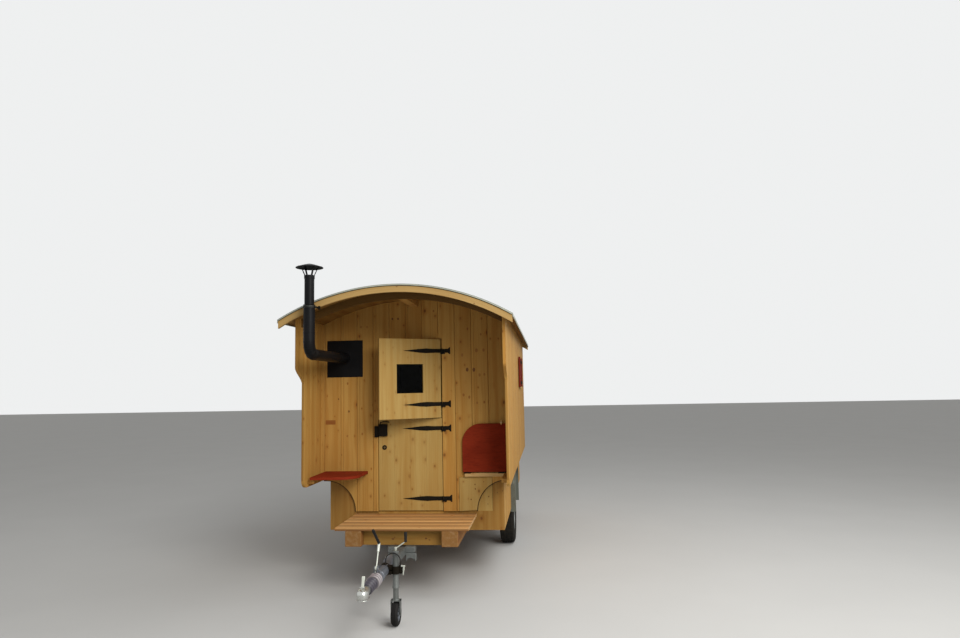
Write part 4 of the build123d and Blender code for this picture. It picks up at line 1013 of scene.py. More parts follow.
boards(roof, (-half_turn, half_turn), board_low.y, board_high.y, on_arc, (soffit + 0.0006, sheet_in),
       across_roof(half_turn, roof_count)[1:-1], across_roof(half_turn, arc_steps),
       groove=0.0022, bead=0.0, seed=43)
roof.make("roof_underside_boards", soffit_wood_painted_shade, "hut", "spruce", replaces=["roof_boards"])

# %% [markdown]
# ## The door
# The stable door is cut across the middle. The lower leaf is shut; the upper leaf stands ajar,
# so its boards are placed in the plane of the hinge, and each leaf rides on its own body.

# %% Door leaves
leaf_low, leaf_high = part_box("door_lower")
upper_low, upper_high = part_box("door_upper")
leaf_thick, leaf_boards = 0.040, 4
leaf_shape = dict(groove=0.0011, bead=0.0, both=True)


def leaf_joints(low, high):
    return [low + (high - low) * k / leaf_boards for k in range(1, leaf_boards)]


leaf = Solid()
boards(leaf, (leaf_low.x, leaf_high.x), leaf_low.z, leaf_high.z, on_front, (front, front + leaf_thick),
       leaf_joints(leaf_low.x, leaf_high.x), seed=47, **leaf_shape)
leaf.make("door_lower_boards", leaf_wood, "door_lower_leaf", "door_wood", bevel=0.0018,
          replaces=["door_lower"])

swing_x = Vector((-cos(ajar), -sin(ajar), 0))
swing_y = Vector((sin(ajar), -cos(ajar), 0))


def on_leaf(u, d, z):
    """u from the hinge to the free edge, d outwards from the hinge's axis."""
    spot = Vector((hinge_x, hinge_y, 0)) + swing_x * u + swing_y * d
    return (spot.x, spot.y, z)


leaf_u = (0.0035, hinge_x - door_left - 0.007)
leaf_d = (-0.009, -0.009 - leaf_thick)
pane_u = (leaf_u[1] - 0.490, leaf_u[1] - 0.192)
pane_z = (floor_z + 1.262, floor_z + 1.572)
leaf = Solid()
for span, low, high in (
        ((leaf_u[0], pane_u[0]), upper_low.z, upper_high.z), (pane_u, upper_low.z, pane_z[0]),
        (pane_u, pane_z[1], upper_high.z), ((pane_u[1], leaf_u[1]), upper_low.z, upper_high.z)):
    boards(leaf, span, low, high, on_leaf, leaf_d, leaf_joints(*leaf_u), seed=53, **leaf_shape)
leaf.make("door_upper_boards", leaf_wood, "door_upper_leaf", "door_wood", replaces=["door_upper"])

# %% [markdown]
# The pane is held by a thin bead on all four sides, which is what makes a plain pane look like a
# window. The beads are boxes in the leaf's own directions.

# %% Pane beading
bead_strip = Solid()
bead_wide = 0.010
for u, z in ((pane_u, (pane_z[0], pane_z[0] + bead_wide)), (pane_u, (pane_z[1] - bead_wide, pane_z[1])),
             ((pane_u[0], pane_u[0] + bead_wide), pane_z), ((pane_u[1] - bead_wide, pane_u[1]), pane_z)):
    bead_strip.add([on_leaf(a, d, c) for a in u for d in (-0.0355, -0.0470) for c in z], BOX_FACES, 0.5)
bead_strip.make("pane_beading", leaf_wood, "door_upper_leaf", "door_wood", bevel=0.001)

# %% [markdown]
# ## Seats and what they rest on
# Two red seats fold on the front wall. The left one is down on a cleat and a batten; the right
# one is folded up behind a turn button. Each has two butt hinges with a round barrel and a pin.
# The seats are flat boards with one big rounded corner, so an outline that is raised does it.

# %% Seats
seat_z = floor_z + 0.405
seat_out, seat_in = wing_in - 0.035, wing_in - 0.505
seat_wide, seat_deep, seat_thick, seat_round = 0.470, 0.510, 0.028, 0.200
seat_axis = front - 0.032
seat_corner = bow(seat_wide - seat_round, seat_deep - seat_round, seat_round, seat_round, range(0, 91, 5))
seat_outline = [(0.0, 0.0), (seat_wide, 0.0), *seat_corner, (0.0, seat_deep)]
knuckles = ((-0.038, -0.0226), (0.0226, 0.038))
cleat_ends = {-1: seat_in + 0.065, 1: seat_in + 0.020}


def seat_place(side):
    """From a seat's own width, depth and thickness to the hut: the left is down, the right is up."""
    if side < 0:
        return axes(RIGHT, FORWARD, UP, (-seat_out, seat_axis - 0.008, seat_z))
    return axes((-1, 0, 0), UP, INWARD, (seat_out, seat_axis, seat_z + 0.008))


for side, name in ((-1, "left"), (1, "right")):
    body = "seat_" + name + "_flap"
    where = seat_place(side)
    board = Solid()
    board.prism(seat_outline, 0.0, seat_thick, 0.37, where)
    board.make("seat_board_" + name, red, body, "red_wood", bevel=0.0025, replaces=["seat_" + name])
    moving, fixed = Solid(), Solid()
    for middle in (seat_in + 0.050, seat_out - 0.050):
        barrel = lie((side * middle, seat_axis, seat_z), UP, RIGHT)
        moving.turned([(0.0034, -0.022), (0.007, -0.022), (0.007, 0.022), (0.0034, 0.022)], barrel, 20)
        u = seat_out - middle
        moving.box((u - 0.022, u + 0.022), (-0.0014, 0.0004), (-0.004, 0.0250), at=where)
        for low, high in knuckles:
            fixed.pin(0.007, low, high, barrel)
        fixed.pin(0.003, -0.040, 0.040, barrel, 12)
        for low, high in knuckles:
            span = (side * middle + low, side * middle + high)
            fixed.box(span, (seat_axis, front - 0.006), (seat_z - 0.0075, seat_z - 0.0018))
    moving.make("seat_hinge_leaves_" + name, black, body, "black_iron")
    fixed.make("seat_hinge_barrels_" + name, black, "hut", "black_iron")
    rail, batten = Solid(), Solid()
    rail.box((side * cleat_ends[side], side * seat_out), (seat_axis, front),
             (seat_z - 0.040, seat_z - 0.0020), 0.2)
    rail.make("seat_cleat_" + name, cleat_wood, "hut", "spruce", bevel=0.003)
    batten_x = (side * (seat_out - 0.025), side * wing_in)
    batten.box(batten_x, (front - 0.500, front - 0.052), (seat_z - 0.041, seat_z - 0.001), 0.7)
    batten.make("seat_batten_" + name, spruce_y, "hut", "spruce", bevel=0.003)

# %% [markdown]
# The turn button that holds the folded seat is an oval of the same planed wood on a round neck.
# Its screw makes clear that it turns.

# %% Turn button over the folded seat
button_x, button_z = seat_out - 0.047, seat_z + 0.532
knob, screw = Solid(), Solid()
knob.prism(bow(0, 0, 0.012, 0.026, range(0, 360, 15)), 0.0, 0.012, 0.2,
           facing(button_x, front - 0.034, button_z))
knob.pin(0.009, 0, 0.034, facing(button_x, front, button_z), tone=0.2)
knob.make("turn_button", cleat_wood, "hut", "spruce", bevel=0.0015)
bolt(screw, (button_x, front - 0.046, button_z), FORWARD, 0.004, 0.0015, 16)
screw.make("turn_button_screw", bright, "hut", "galvanised")

# %% [markdown]
# ## Door furniture
# A rim lock with a lever handle and a round escutcheon on the lower leaf, its keep on the
# boards beside it, and coach bolts through the strap hinges. The case is two boxes with a worn
# edge, and all that is round is turned.

# %% Lock case and lever
lock_low, lock_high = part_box("lock")[0], floor_z + 0.930
lock_x = (lock_low.x, lock_low.x + 0.096)
lock_face, lid_gap = front - 0.028, 0.006
case = Solid()
case.box(lock_x, (front - 0.026, front), (lock_low.z, lock_high))
lid_span = (lock_x[0] + lid_gap, lock_x[1] - lid_gap)
case.box(lid_span, (lock_face, front - 0.026), (lock_low.z + lid_gap, lock_high - lid_gap))
case.make("lock_case", black, "door_lower_leaf", "black_iron", bevel=0.003, replaces=["lock"])
lever = Solid()
turn_x, turn_z = lock_x[0] + 0.022, lock_high - 0.014
lever.turned([(0, 0), (0.013, 0), (0.013, 0.006), (0.009, 0.009), (0, 0.009)],
             facing(turn_x, lock_face, turn_z), 20)
bar = ((0.0, -0.030, 0.0, 0.007), (0.0, -0.036, 0.010, 0.007), (0.004, -0.037, 0.034, 0.006),
       (0.030, -0.037, 0.041, 0.006), (0.070, -0.036, 0.042, 0.0065), (0.096, -0.034, 0.038, 0.0070),
       (0.100, -0.030, 0.032, 0.004))
lever.rod([(turn_x + x, front + y, turn_z + z) for x, y, z, r in bar], [r for x, y, z, r in bar], 14)
for x in (lock_x[0] + 0.012, lock_x[1] - 0.012):
    bolt(lever, (x, lock_face, lock_low.z + 0.014), FORWARD, 0.0045, 0.0018, 14)
key_place = facing(lock_x[0] + 0.055, lock_face, lock_low.z + 0.045)
lever.turned([(0, 0), (0.008, 0), (0.007, 0.003), (0, 0.003)], key_place, 18)
lever.make("lock_lever", black, "door_lower_leaf", "black_iron", smooth=True)

# %% Escutcheon, key cylinder and keep
ring_at = facing(-0.340, front, floor_z + 0.679)
ring, core, keep = Solid(), Solid(), Solid()
ring_profile = [(0.0125, 0), (0.0255, 0), (0.0255, 0.003), (0.022, 0.005), (0.0125, 0.005), (0.0125, 0)]
ring.turned(ring_profile, ring_at, 36)
ring.make("escutcheon", black, "door_lower_leaf", "black_iron", smooth=True)
core.turned([(0, 0), (0.012, 0), (0.012, 0.0035), (0.0095, 0.006), (0.002, 0.006),
             (0.002, 0.002), (0, 0.002)], ring_at, 28)
core.make("key_cylinder", brass, "door_lower_leaf", "galvanised", smooth=True)
keep.box((door_left - 0.037, door_left + 0.001), (front - 0.022, front),
         (lock_low.z - 0.009, lock_high - 0.021))
for z in (lock_low.z + 0.006, lock_high - 0.036):
    bolt(keep, (door_left - 0.018, front - 0.022, z), FORWARD, 0.0045, 0.0018, 14)
keep.make("lock_keep", black, "hut", "black_iron", bevel=0.002)

# %% Coach bolts of the strap hinges
strap_rises = {"lower": (0.135, 0.880), "upper": (1.140, 1.715)}
for leaf_name, rises in strap_rises.items():
    heads = Solid()
    for rise in rises:
        for along in (0.055, 0.135, 0.215, 0.300):
            spot, out = (hinge_x - along, front - 0.005, floor_z + rise), FORWARD
            if leaf_name == "upper":
                spot, out = on_leaf(along, -0.004, floor_z + rise), tuple(swing_y)
            bolt(heads, spot, out, 0.0075, 0.004, 16)
    heads.make("strap_bolts_" + leaf_name, black, "door_" + leaf_name + "_leaf", "black_iron", smooth=True)
heads = Solid()
for rise in strap_rises["lower"] + strap_rises["upper"]:
    for x, z in ((0.050, 0.0), (0.090, 0.026), (0.090, -0.026)):
        bolt(heads, (hinge_x + x, front - 0.004, floor_z + rise + z), FORWARD, 0.0055, 0.0035, 16)
heads.make("hinge_plate_bolts", black, "hut", "black_iron", smooth=True)

# %% [markdown]
# ## The flue
# The stove pipe comes out through a steel plate, turns up in a welded elbow and is held to the
# fascia by a clamp. The rain cap stands on four flat struts that lean outwards. Round parts are
# lathe work: a profile turned about the pipe's own line.

# %% Flue seams
pipe_low, pipe_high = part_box("flue_pipe")
plate_low, plate_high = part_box("flue_plate")
flue_x, flue_z = plate_low.x + 0.198, floor_z + 1.655
flue_y = pipe_low.y + 0.054
joint_z, flue_top, elbow = floor_z + 2.115, pipe_high.z, 0.115
seams = Solid()
weld = [(0.0530, -0.0045), (0.0558, -0.0025), (0.0558, 0.0025), (0.0530, 0.0045)]
for t in [radians(22.5 * k) for k in range(5)]:
    spot = (flue_x, flue_y + elbow - elbow * sin(t), flue_z + elbow - elbow * cos(t))
    seams.turned(weld, lie(spot, RIGHT, (0, -cos(t), sin(t))), 40)
seams.turned(weld, lie((flue_x, front - 0.30, flue_z), RIGHT, INWARD), 40)
seams.turned(weld, lie((flue_x, flue_y, flue_z + 0.20), RIGHT, UP), 40)
mouth = [(0.0450, -0.010), (0.0478, -0.008), (0.0478, 0.0), (0.0440, 0.001)]
seams.turned([(r, flue_top + z) for r, z in mouth], standing(flue_x, flue_y), 40)
seams.turned([(0.0545, 0.003), (0.0790, 0.003), (0.0790, 0.006), (0.0620, 0.007),
              (0.0560, 0.016), (0.0545, 0.016)], facing(flue_x, front, flue_z), 48)
seams.make("flue_seams", flue_black, "hut", "black_iron", smooth=True)

# %% Screws of the flue plate
heads = Solid()
inset = 0.018
edge_x = (plate_low.x + inset, plate_high.x - inset)
screws = [(edge_x[0] + (edge_x[1] - edge_x[0]) * i / 3, z) for i in range(4)
          for z in (plate_low.z + inset, plate_high.z - inset)]
screws += [(x, plate_low.z + z) for z in (0.14, 0.265) for x in edge_x]
for x, z in screws:
    bolt(heads, (x, plate_low.y, z), FORWARD, 0.0055, 0.003, 14)
for x, z in bow(flue_x, flue_z, 0.070, 0.070, range(30, 390, 60)):
    bolt(heads, (x, front - 0.006, z), FORWARD, 0.0035, 0.002, 12)
heads.make("flue_plate_screws", flue_black, "hut", "black_iron", smooth=True)

# %% [markdown]
# The clamp is a band round the pipe and an arm to the fascia, with two turns of bare wire
# over it. The wire is a rod along a circle that doesn't close.

# %% Flue clamp
clamp_z = joint_z - 0.014
band, wire = Solid(), Solid()
on_pipe = Matrix.Translation((flue_x, flue_y, clamp_z))
band.hoop(0.0543, 0.0565, -0.010, 0.010, on_pipe, 44)
band.turned([(0.0543, 0.016), (0.0575, 0.017), (0.0575, 0.019), (0.0543, 0.020)], on_pipe, 44)
fascia_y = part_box("fascia_front")[0].y
arm_x = flue_x + 0.052
band.box((arm_x - 0.002, arm_x + 0.002), (flue_y + 0.012, fascia_y), (clamp_z - 0.009, clamp_z + 0.009))
band.box((arm_x - 0.002, arm_x + 0.020), (fascia_y - 0.004, fascia_y), (clamp_z - 0.018, clamp_z + 0.018))
for z in (-0.010, 0.010):
    bolt(band, (arm_x + 0.011, fascia_y - 0.004, clamp_z + z), FORWARD, 0.005, 0.003)
bolt(band, (arm_x + 0.002, flue_y + 0.030, clamp_z), RIGHT, 0.006, 0.004)
band.make("flue_clamp_band", black, "hut", "black_iron", replaces=["flue_clamp"])
for z in (-0.0062, 0.0062):
    wire.rod([(x, y, clamp_z + z) for x, y in bow(flue_x, flue_y, 0.0578, 0.0578, range(0, 337, 6))],
             0.0013, 8)
wire.make("flue_clamp_wires", zinc, "hut", "galvanised", smooth=True)

# %% [markdown]
# The rain cap is a shallow spun cone with a rolled rim and eight rivets. Each of its four struts
# is a flat bar with a bend, given by its section at four places.

# %% Rain cap
cap, struts = Solid(), Solid()
cap_rim = flue_top + 0.076
middle = standing(flue_x, flue_y)
cone = [(0, 0.038), (0.010, 0.0365), (0.050, 0.027), (0.100, 0.011), (0.127, 0.002), (0.1300, -0.002),
        (0.1290, -0.005), (0.1262, -0.003), (0.098, 0.008), (0.048, 0.024), (0.010, 0.033), (0, 0.034)]
cap.turned([(r, cap_rim + z) for r, z in cone], middle, 48)
for t in [radians(45 * k) for k in range(8)]:
    spot = (flue_x + 0.114 * cos(t), flue_y + 0.114 * sin(t), cap_rim + 0.0065)
    bolt(cap, spot, (0.35 * cos(t), 0.35 * sin(t), 1), 0.0035, 0.002, 12)
cap.make("rain_cap", flue_black, "hut", "black_iron", smooth=True, replaces=["flue_cap"])
struts.hoop(0.0463, 0.0483, flue_top - 0.034, flue_top - 0.016, middle)
strut = [(0.0483, flue_top - 0.032), (0.0483, flue_top + 0.002), (0.0870, cap_rim + 0.0080),
         (0.0990, cap_rim + 0.0050)]
points = [(r + out, across, z + out * 0.24) for r, z in strut for across in (-0.009, 0.009)
          for out in (0.0, 0.0025)]
for k in range(4):
    struts.add(points, bar_faces(len(strut)), at=middle @ Matrix.Rotation(radians(45 + 90 * k), 4, "Z"))
struts.make("rain_cap_struts", flue_black, "hut", "black_iron")

# %% [markdown]
# ## Roof edges
# The sheet ends in a folded trim: a light lip over each fascia and a drip edge along the eaves.
# Four laps cross the roof where one sheet covers the next, each with a row of screws. All of it
# is flat bar that follows the arc, so one function bends them all.

# %% Roof trim
sheet_low, sheet_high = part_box("roof_sheet")
edge_turn = asin(sheet_high.x / roof_radius)
edge_z = roof_z + roof_radius * cos(edge_turn)


def arc_strip(solid, y, low, high):
    """A bent bar along the roof's arc, between two values of y and two heights over the sheet."""
    arc, radii = across_roof(edge_turn, 72), (roof_radius + low, roof_radius + high)
    points = [(r * sin(t), v, roof_z + r * cos(t)) for t in arc for v in y for r in radii]
    solid.add(points, bar_faces(len(arc)))


trim, shadow_strip = Solid(), Solid()
for end, way in ((sheet_low.y, 1), (sheet_high.y, -1)):
    for outside, inside, low, high in ((0.0030, -0.0600, 0.0002, 0.0022), (0.0030, 0.0008, -0.0100, 0.0022),
                                       (0.0060, 0.0008, -0.0120, -0.0100)):
        arc_strip(trim, sorted((end - way * outside, end - way * inside)), low, high)
    # painted shadow: a black strip under the lower edge of each fascia trim, where its shadow falls
    arc_strip(shadow_strip, sorted((end - way * 0.0022, end + way * 0.0080)), -0.0160, -0.0122)
sheet_y = (sheet_low.y - 0.003, sheet_high.y + 0.003)
for side in (-1, 1):
    for reach, low, high in ((0.0018, -0.030, 0.003), (0.0070, -0.0325, -0.030)):
        outer = [side * (sheet_high.x + v) for v in (-0.0005, reach)]
        trim.box(outer, sheet_y, (edge_z + low, edge_z + high))
trim.make("roof_trim", trim_metal, "hut", "roof_metal")
shadow_strip.make("roof_painted_shadow", black, "hut", "black_iron")

# %% Laps and their screws
laps, screws = Solid(), Solid()
sheets, screw_count, lap_half, lap_top = 5, 12, 0.022, 0.0016
for k in range(1, sheets):
    y = sheet_low.y + (sheet_high.y - sheet_low.y) * k / sheets
    arc_strip(laps, (y - lap_half, y + lap_half), hair, lap_top)
    for turn in across_roof(edge_turn * 0.97, screw_count):
        out = Vector((sin(turn), 0, cos(turn)))
        bolt(screws, Vector((0, y, roof_z)) + out * (roof_radius + lap_top), out, 0.0055, 0.0035)
laps.make("roof_laps", roof_metal, "hut", "roof_metal")
screws.make("roof_screws", bright, "hut", "galvanised")

# %% [markdown]
# ## Deck, sills and floor
# Five larch boards on two heavy sills make the deck. The sills run on under the hut and show
# their end grain. A deck board has its own section, worn hollow in the middle, and the section's
# third number darkens it: painted shadow on the front face, darkest at its foot, and a darker
# back part of the top behind a lighter front strip.

# %% Deck
deck_low, deck_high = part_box("deck")
deck_count, gap = 5, 0.007
pitch = (deck_high.y - deck_low.y + gap) / deck_count
wide, top, foot = pitch - gap, deck_high.z, deck_low.z + 0.0002
# third numbers darken the board: painted shadow on the front face, darkest at its foot, and a darker back
# part
section = [(0.0, foot, 2.1), (0.0, top - 0.006, 1.0), (0.0025, top - 0.002, 0.1), (0.008, top, 0.0),
           (0.030, top, 0.0), (0.060, top - 0.0006, 0.1), (0.085, top - 0.001, 0.7),
           (0.115, top - 0.001, 1.0), (wide - 0.008, top, 1.0), (wide - 0.0025, top - 0.002, 1.0),
           (wide, top - 0.006, 1.0), (wide, foot, 1.0)]
count = len(section)
ends = [face[::-1] for face in lid_faces(2, count)]
planks, heads = Solid(), Solid()
for k in range(deck_count):
    y = deck_low.y + k * pitch
    points = [(x, y + v, z) for x in (deck_low.x, deck_high.x) for v, z, painted_shade_grime_share in section]
    grime_and_painted_shade = [painted_shade_grime_share for v, z, painted_shade_grime_share in section] * 2
    planks.add(points, skin_faces(2, count) + ends, random.Random(60 + k).random(), dips=grime_and_painted_shade)
    for x in (-0.510, -0.434, 0.434, 0.510):
        for share in (0.25, 0.75):
            bolt(heads, (x, y + wide * share, top - 0.0006), UP, 0.0045, 0.0008, 14)
planks.make("deck_boards", larch, "hut", "spruce", replaces=["deck"])
heads.make("deck_screws", zinc, "hut", "galvanised")


# %% Sills and cross plank
def whole_box(solid, node, tone):
    """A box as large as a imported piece."""
    solid.box(*zip(*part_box(node)), tone)


beams, plank, knots = Solid(), Solid(), Solid()
whole_box(beams, "sill_left", 0.23)
whole_box(beams, "sill_right", 0.81)
beams.make("sill_beams", beam_wood, "hut", "spruce", bevel=0.006, replaces=["sill_left", "sill_right"])
whole_box(plank, "cross_plank", 0.55)
plank.make("cross_plank_board", plank_wood_painted_shade, "hut", "spruce", bevel=0.002, replaces=["cross_plank"])
for x, z, r in ((-0.098, 0.557, 0.011), (-0.082, 0.572, 0.006), (0.227, 0.562, 0.010), (0.262, 0.548, 0.007)):
    knot(knots, (x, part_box("cross_plank")[0].y - hair, z), r, 1.3, 0.9)
knots.make("cross_plank_knots", knot_wood, "hut", "spruce", smooth=True)

# %% [markdown]
# Inside is a floor of narrow boards that goes round the two wheel housings. It is the same board
# maker again, laid flat.

# %% Floor boards
floor_low, floor_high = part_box("floor")
housing_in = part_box("wheel_housing_right")[0].x
floor_count = 13
floor_joints = [-housing_in + 2 * housing_in * k / floor_count for k in range(1, floor_count)]
planks = Solid()


def on_floor(u, d, y):
    return (u, y, d)


shape = dict(place=on_floor, depth=(floor_high.z, floor_low.z + 0.0002), joints=floor_joints,
             groove=0.0015, bead=0.0, seed=71)
boards(planks, (-housing_in, housing_in), floor_low.y, floor_high.y, **shape)
for side in (-1, 1):
    strip = sorted((side * housing_in, side * floor_high.x))
    boards(planks, strip, floor_low.y, guard_y[0], **shape)
    boards(planks, strip, guard_y[1], floor_high.y, **shape)
planks.make("floor_boards", spruce_y, "hut", "spruce", replaces=["floor"])

# %% [markdown]
# ## Wheels
# A tyre is a turned profile whose tread is cut into blocks; a pressed steel wheel is a rim with
# a dished disc that has round hand holes. The tread is made by letting the radius drop where a
# groove runs, and the holes by leaving faces out of a polar grid that then gets a thickness.

# %% Tyre
tread_half, rib_deep, cut_deep, block_steps, round_steps = 0.076, 0.0075, 0.0060, 6, 168


def tyre_profile(half, outer):
    """The tyre's section as (radius, width, whether it is cut into blocks)."""
    wall = [(0.1950, 0.078), (0.206, 0.083), (0.215, 0.0815), (0.235, 0.0880), (0.262, half - 0.0005),
            (0.284, half), (0.300, half - 0.0012), (0.302, half - 0.0026), (0.306, half - 0.0010),
            (0.322, half - 0.0080)]
    edges = [tread_half, 0.0745, 0.0500, 0.0485, 0.0420, 0.0405, 0.0170, 0.0155, 0.0090, 0.0075]
    profile = [(r, -w, 0) for r, w in wall]
    for i, w in enumerate([-e for e in edges] + edges[::-1]):
        rib_edge = min(i, 19 - i)
        groove = rib_edge % 4 in (3, 0)
        crown = outer - 0.0010 - 0.0060 * (abs(w) / tread_half) ** 3
        profile.append((crown - (rib_deep if groove and rib_edge else 0.0), w, 0 if groove else 1))
    return profile + [(r, w, 0) for r, w in wall[::-1]]


def road_tyre(name, low, high, where):
    """A tyre whose blocks are cut across at every sixth step, the two halves out of step."""
    profile = tyre_profile((high.x - low.x) / 2, (high.z - low.z) / 2)
    points = []
    for i in range(round_steps):
        t = 2 * pi * i / round_steps
        for r, w, block in profile:
            shift = 2 if w > 0 else 0
            r -= cut_deep if block and (i + shift) % block_steps == 0 else 0.0
            points.append((r * cos(t), r * sin(t), w))
    count = len(profile)
    faces = []
    for i in range(round_steps):
        a, b = i * count, (i + 1) % round_steps * count
        faces += [(a + k, b + k, b + k + 1, a + k + 1) for k in range(count - 1)]
        faces.append((a + count - 1, b + count - 1, b, a))
    tyre = Solid()
    tyre.add(points, faces, at=where)
    tyre.make("road_tyre_" + name, tyre_rubber, "wheel_" + name, "tyre", smooth=True,
              replaces=["tyre_" + name])


# %% Rim and disc
rim_profile = [
    (0.1945, -0.0775), (0.1945, -0.0700), (0.1800, -0.0630), (0.1720, -0.0300), (0.1720, 0.0200),
    (0.1800, 0.0600), (0.1945, 0.0680), (0.1945, 0.0775), (0.1985, 0.0800), (0.1990, 0.0775),
    (0.1930, 0.0790), (0.1900, 0.0750), (0.1895, 0.0690), (0.1755, 0.0620), (0.1680, 0.0200),
    (0.1680, -0.0300), (0.1755, -0.0650), (0.1900, -0.0720), (0.1900, -0.0775), (0.1945, -0.0775)]
hub_cap = [(0, 0.052), (0.026, 0.052), (0.033, 0.046), (0.034, 0.030), (0.044, 0.028), (0.046, 0.020)]
drum = [(0.030, -0.020), (0.105, -0.078), (0.105, -0.140), (0.0235, -0.146), (0.0235, -0.020),
        (0.030, -0.020)]
dish = [(0.020, 0.0200), (0.045, 0.0240), (0.072, 0.0250), (0.086, 0.0180), (0.100, 0.0120),
        (0.122, 0.0095), (0.138, 0.0120), (0.150, 0.0180), (0.1690, 0.0230)]
disc_steps, hand_hole = 80, {3: (4, 5), 4: (3, 4, 5, 6), 5: (3, 4, 5, 6), 6: (4, 5)}


def wheel(name, side):
    """One road wheel: tyre, rim with its bolts, hub and drum, and a disc with eight hand holes."""
    low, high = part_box("tyre_" + name)
    where = lie((low + high) / 2, UP, (side, 0, 0))
    road_tyre(name, low, high, where)
    rim, disc = Solid(), Solid()
    rim.turned(rim_profile, where, 64)
    rim.turned(hub_cap, where, 36)
    for x, y in bow(0, 0, 0.0560, 0.0560, range(90, 450, 72)):
        bolt(rim, where @ Vector((x, y, 0.0275)), (side, 0, 0), 0.0095, 0.012)
    rim.turned(drum, where, 40)
    rim.make("wheel_rim_" + name, zinc, "wheel_" + name, "galvanised", smooth=True, replaces=["rim_" + name])
    turns = [2 * pi * k / disc_steps for k in range(disc_steps)]
    points = [(r * cos(t), r * sin(t), w) for r, w in dish for t in turns]
    faces = [face for i, face in enumerate(skin_faces(len(dish), disc_steps))
             if i % disc_steps % 10 not in hand_hole.get(i // disc_steps, ())]
    disc.add(points, faces, at=where)
    plate = disc.make("wheel_disc_" + name, zinc, "wheel_" + name, "galvanised", smooth=True)
    thicken(plate, 0.004, 0.0)


wheel("right", 1)
wheel("left", -1)

# %% [markdown]
# ### What carries the wheels
# The axle beam carries a flange and two pairs of clamp bolts at each end. The wheel housings are
# thin sheet with a rolled edge, three swages that stiffen them and a row of rivets inside.

# %% Axle fittings
tyre_low, tyre_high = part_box("tyre_right")
axle_y, axle_z = ((tyre_low + tyre_high) / 2)[1:]
fittings = Solid()
flange_profile = [(0, 0), (0.098, 0), (0.104, 0.002), (0.104, 0.008), (0.030, 0.008), (0.030, 0.010),
                  (0, 0.010)]
for side in (-1, 1):
    fittings.turned(flange_profile, lie((side * 0.720, axle_y, axle_z), UP, (side, 0, 0)), 40)
    for x in (side * 0.420, side * 0.524):
        for dy in (-0.052, 0.052):
            bolt(fittings, (x, axle_y + dy, axle_z + 0.047), (0, dy, 0), 0.010, 0.008)
            fittings.rod([(x, axle_y + dy, axle_z - 0.050), (x, axle_y + dy, axle_z + 0.050)], 0.006)
    span = sorted((side * 0.400, side * 0.545))
    fittings.box(span, (axle_y - 0.066, axle_y + 0.066), (axle_z - 0.050, axle_z - 0.0405))
fittings.make("axle_fittings", zinc, "hut", "galvanised")

# %% Wheel housings
housing_out, swage_in = guard_high.x, (0.030, 0.052, 0.074)
path = bow(guard_y[0] + guard_round, guard_high.z - guard_round, -guard_round, guard_round, range(0, 91, 6))
path = [(guard_y[0], guard_low.z)] + path
path += [(guard_y[0] + guard_y[1] - y, z) for y, z in path[::-1]]
for side, name in ((1, "right"), (-1, "left")):
    lip, rivets = Solid(), Solid()
    lip.rod([(side * (housing_out - 0.002), y, z) for y, z in path], 0.0055)
    for inset in swage_in:
        swage = []
        for i, (y, z) in enumerate(path):
            before, after = path[max(i - 1, 0)], path[min(i + 1, len(path) - 1)]
            along = Vector((after[0] - before[0], after[1] - before[1])).normalized()
            swage.append((side * (housing_out - inset), y - along.y * 0.0012, z + along.x * 0.0012))
        lip.rod(swage, 0.0036, 10)
    for k in range(26):
        z = guard_low.z + 0.020 + 0.0125 * k
        ends = [(side * x, guard_y[0] - 0.001, z) for x in (lower_out + 0.003, housing_out - 0.014)]
        lip.rod(ends, 0.0034, 8)
    lip.make("wheel_housing_lip_" + name, guard_paint, "hut", "galvanised", smooth=True)
    for k in range(9):
        y = guard_y[0] + 0.05 + (guard_y[1] - guard_y[0] - 0.10) * k / 8
        bolt(rivets, (side * housing_in, y, floor_z + 0.030), (-side, 0, 0), 0.006, 0.003, 14)
    rivets.make("wheel_housing_rivets_" + name, bright, "hut", "galvanised", smooth=True)

# %% [markdown]
# ## The hitch
# The drawbar ends in a cast overrun housing with a rubber bellows, a pressed-steel coupling head,
# a handbrake lever, and a jockey wheel in a clamp. Castings have no sharp edges, so they are
# lofted through rounded sections; the turned and pressed pieces get their own profiles.

# %% Drawbar and its bracket
bar_low, bar_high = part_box("drawbar")
bar_front, bar_top = bar_low.y, bar_high.z
bar, bracket, heads = Solid(), Solid(), Solid()
bar.box((-0.040, 0.040), (bar_front, axle_y - 0.040), (bar_top - 0.080, bar_top - 0.0002))
bar.box((-0.150, 0.150), (axle_y - 0.060, axle_y + 0.060), (axle_z + 0.0405, bar_top - 0.079))
bar.make("drawbar_tube", zinc, "hut", "galvanised", bevel=0.006, replaces=["drawbar"])
plate_y = front - 0.755
bracket.box((-0.132, 0.132), (plate_y, plate_y + 0.060), (bar_top - 0.054, bar_top - 0.0002))
bracket.box((-0.122, 0.122), (plate_y + 0.008, plate_y + 0.054), (bar_top - 0.070, bar_top - 0.040))
cheek = [(0.040, -0.062), (0.137, -0.062), (0.139, -0.108), (0.136, -0.134), (0.128, -0.134), (0.124, -0.112)]
cheek += bow(0.084, -0.134, 0.036, 0.026, range(30, 181, 15)) + [(0.040, -0.134)]
for side in (-1, 1):
    bracket.prism([(side * x, z) for x, z in cheek[::side]], 0.0, 0.056,
                  at=facing(0, plate_y + 0.058, bar_top))
bracket.make("drawbar_bracket", zinc, "hut", "galvanised", bevel=0.004)
for x in (-0.112, -0.072, 0.072, 0.112):
    bolt(heads, (x, plate_y, bar_top - 0.028), FORWARD, 0.007, 0.005)
heads.make("drawbar_bolts", zinc, "hut", "galvanised")

# %% [markdown]
# ### The overrun housing
# The cast tube grows square towards the drawbar, where four bolts hold it. Two webs stiffen it,
# and two ears carry the pin of the handbrake.

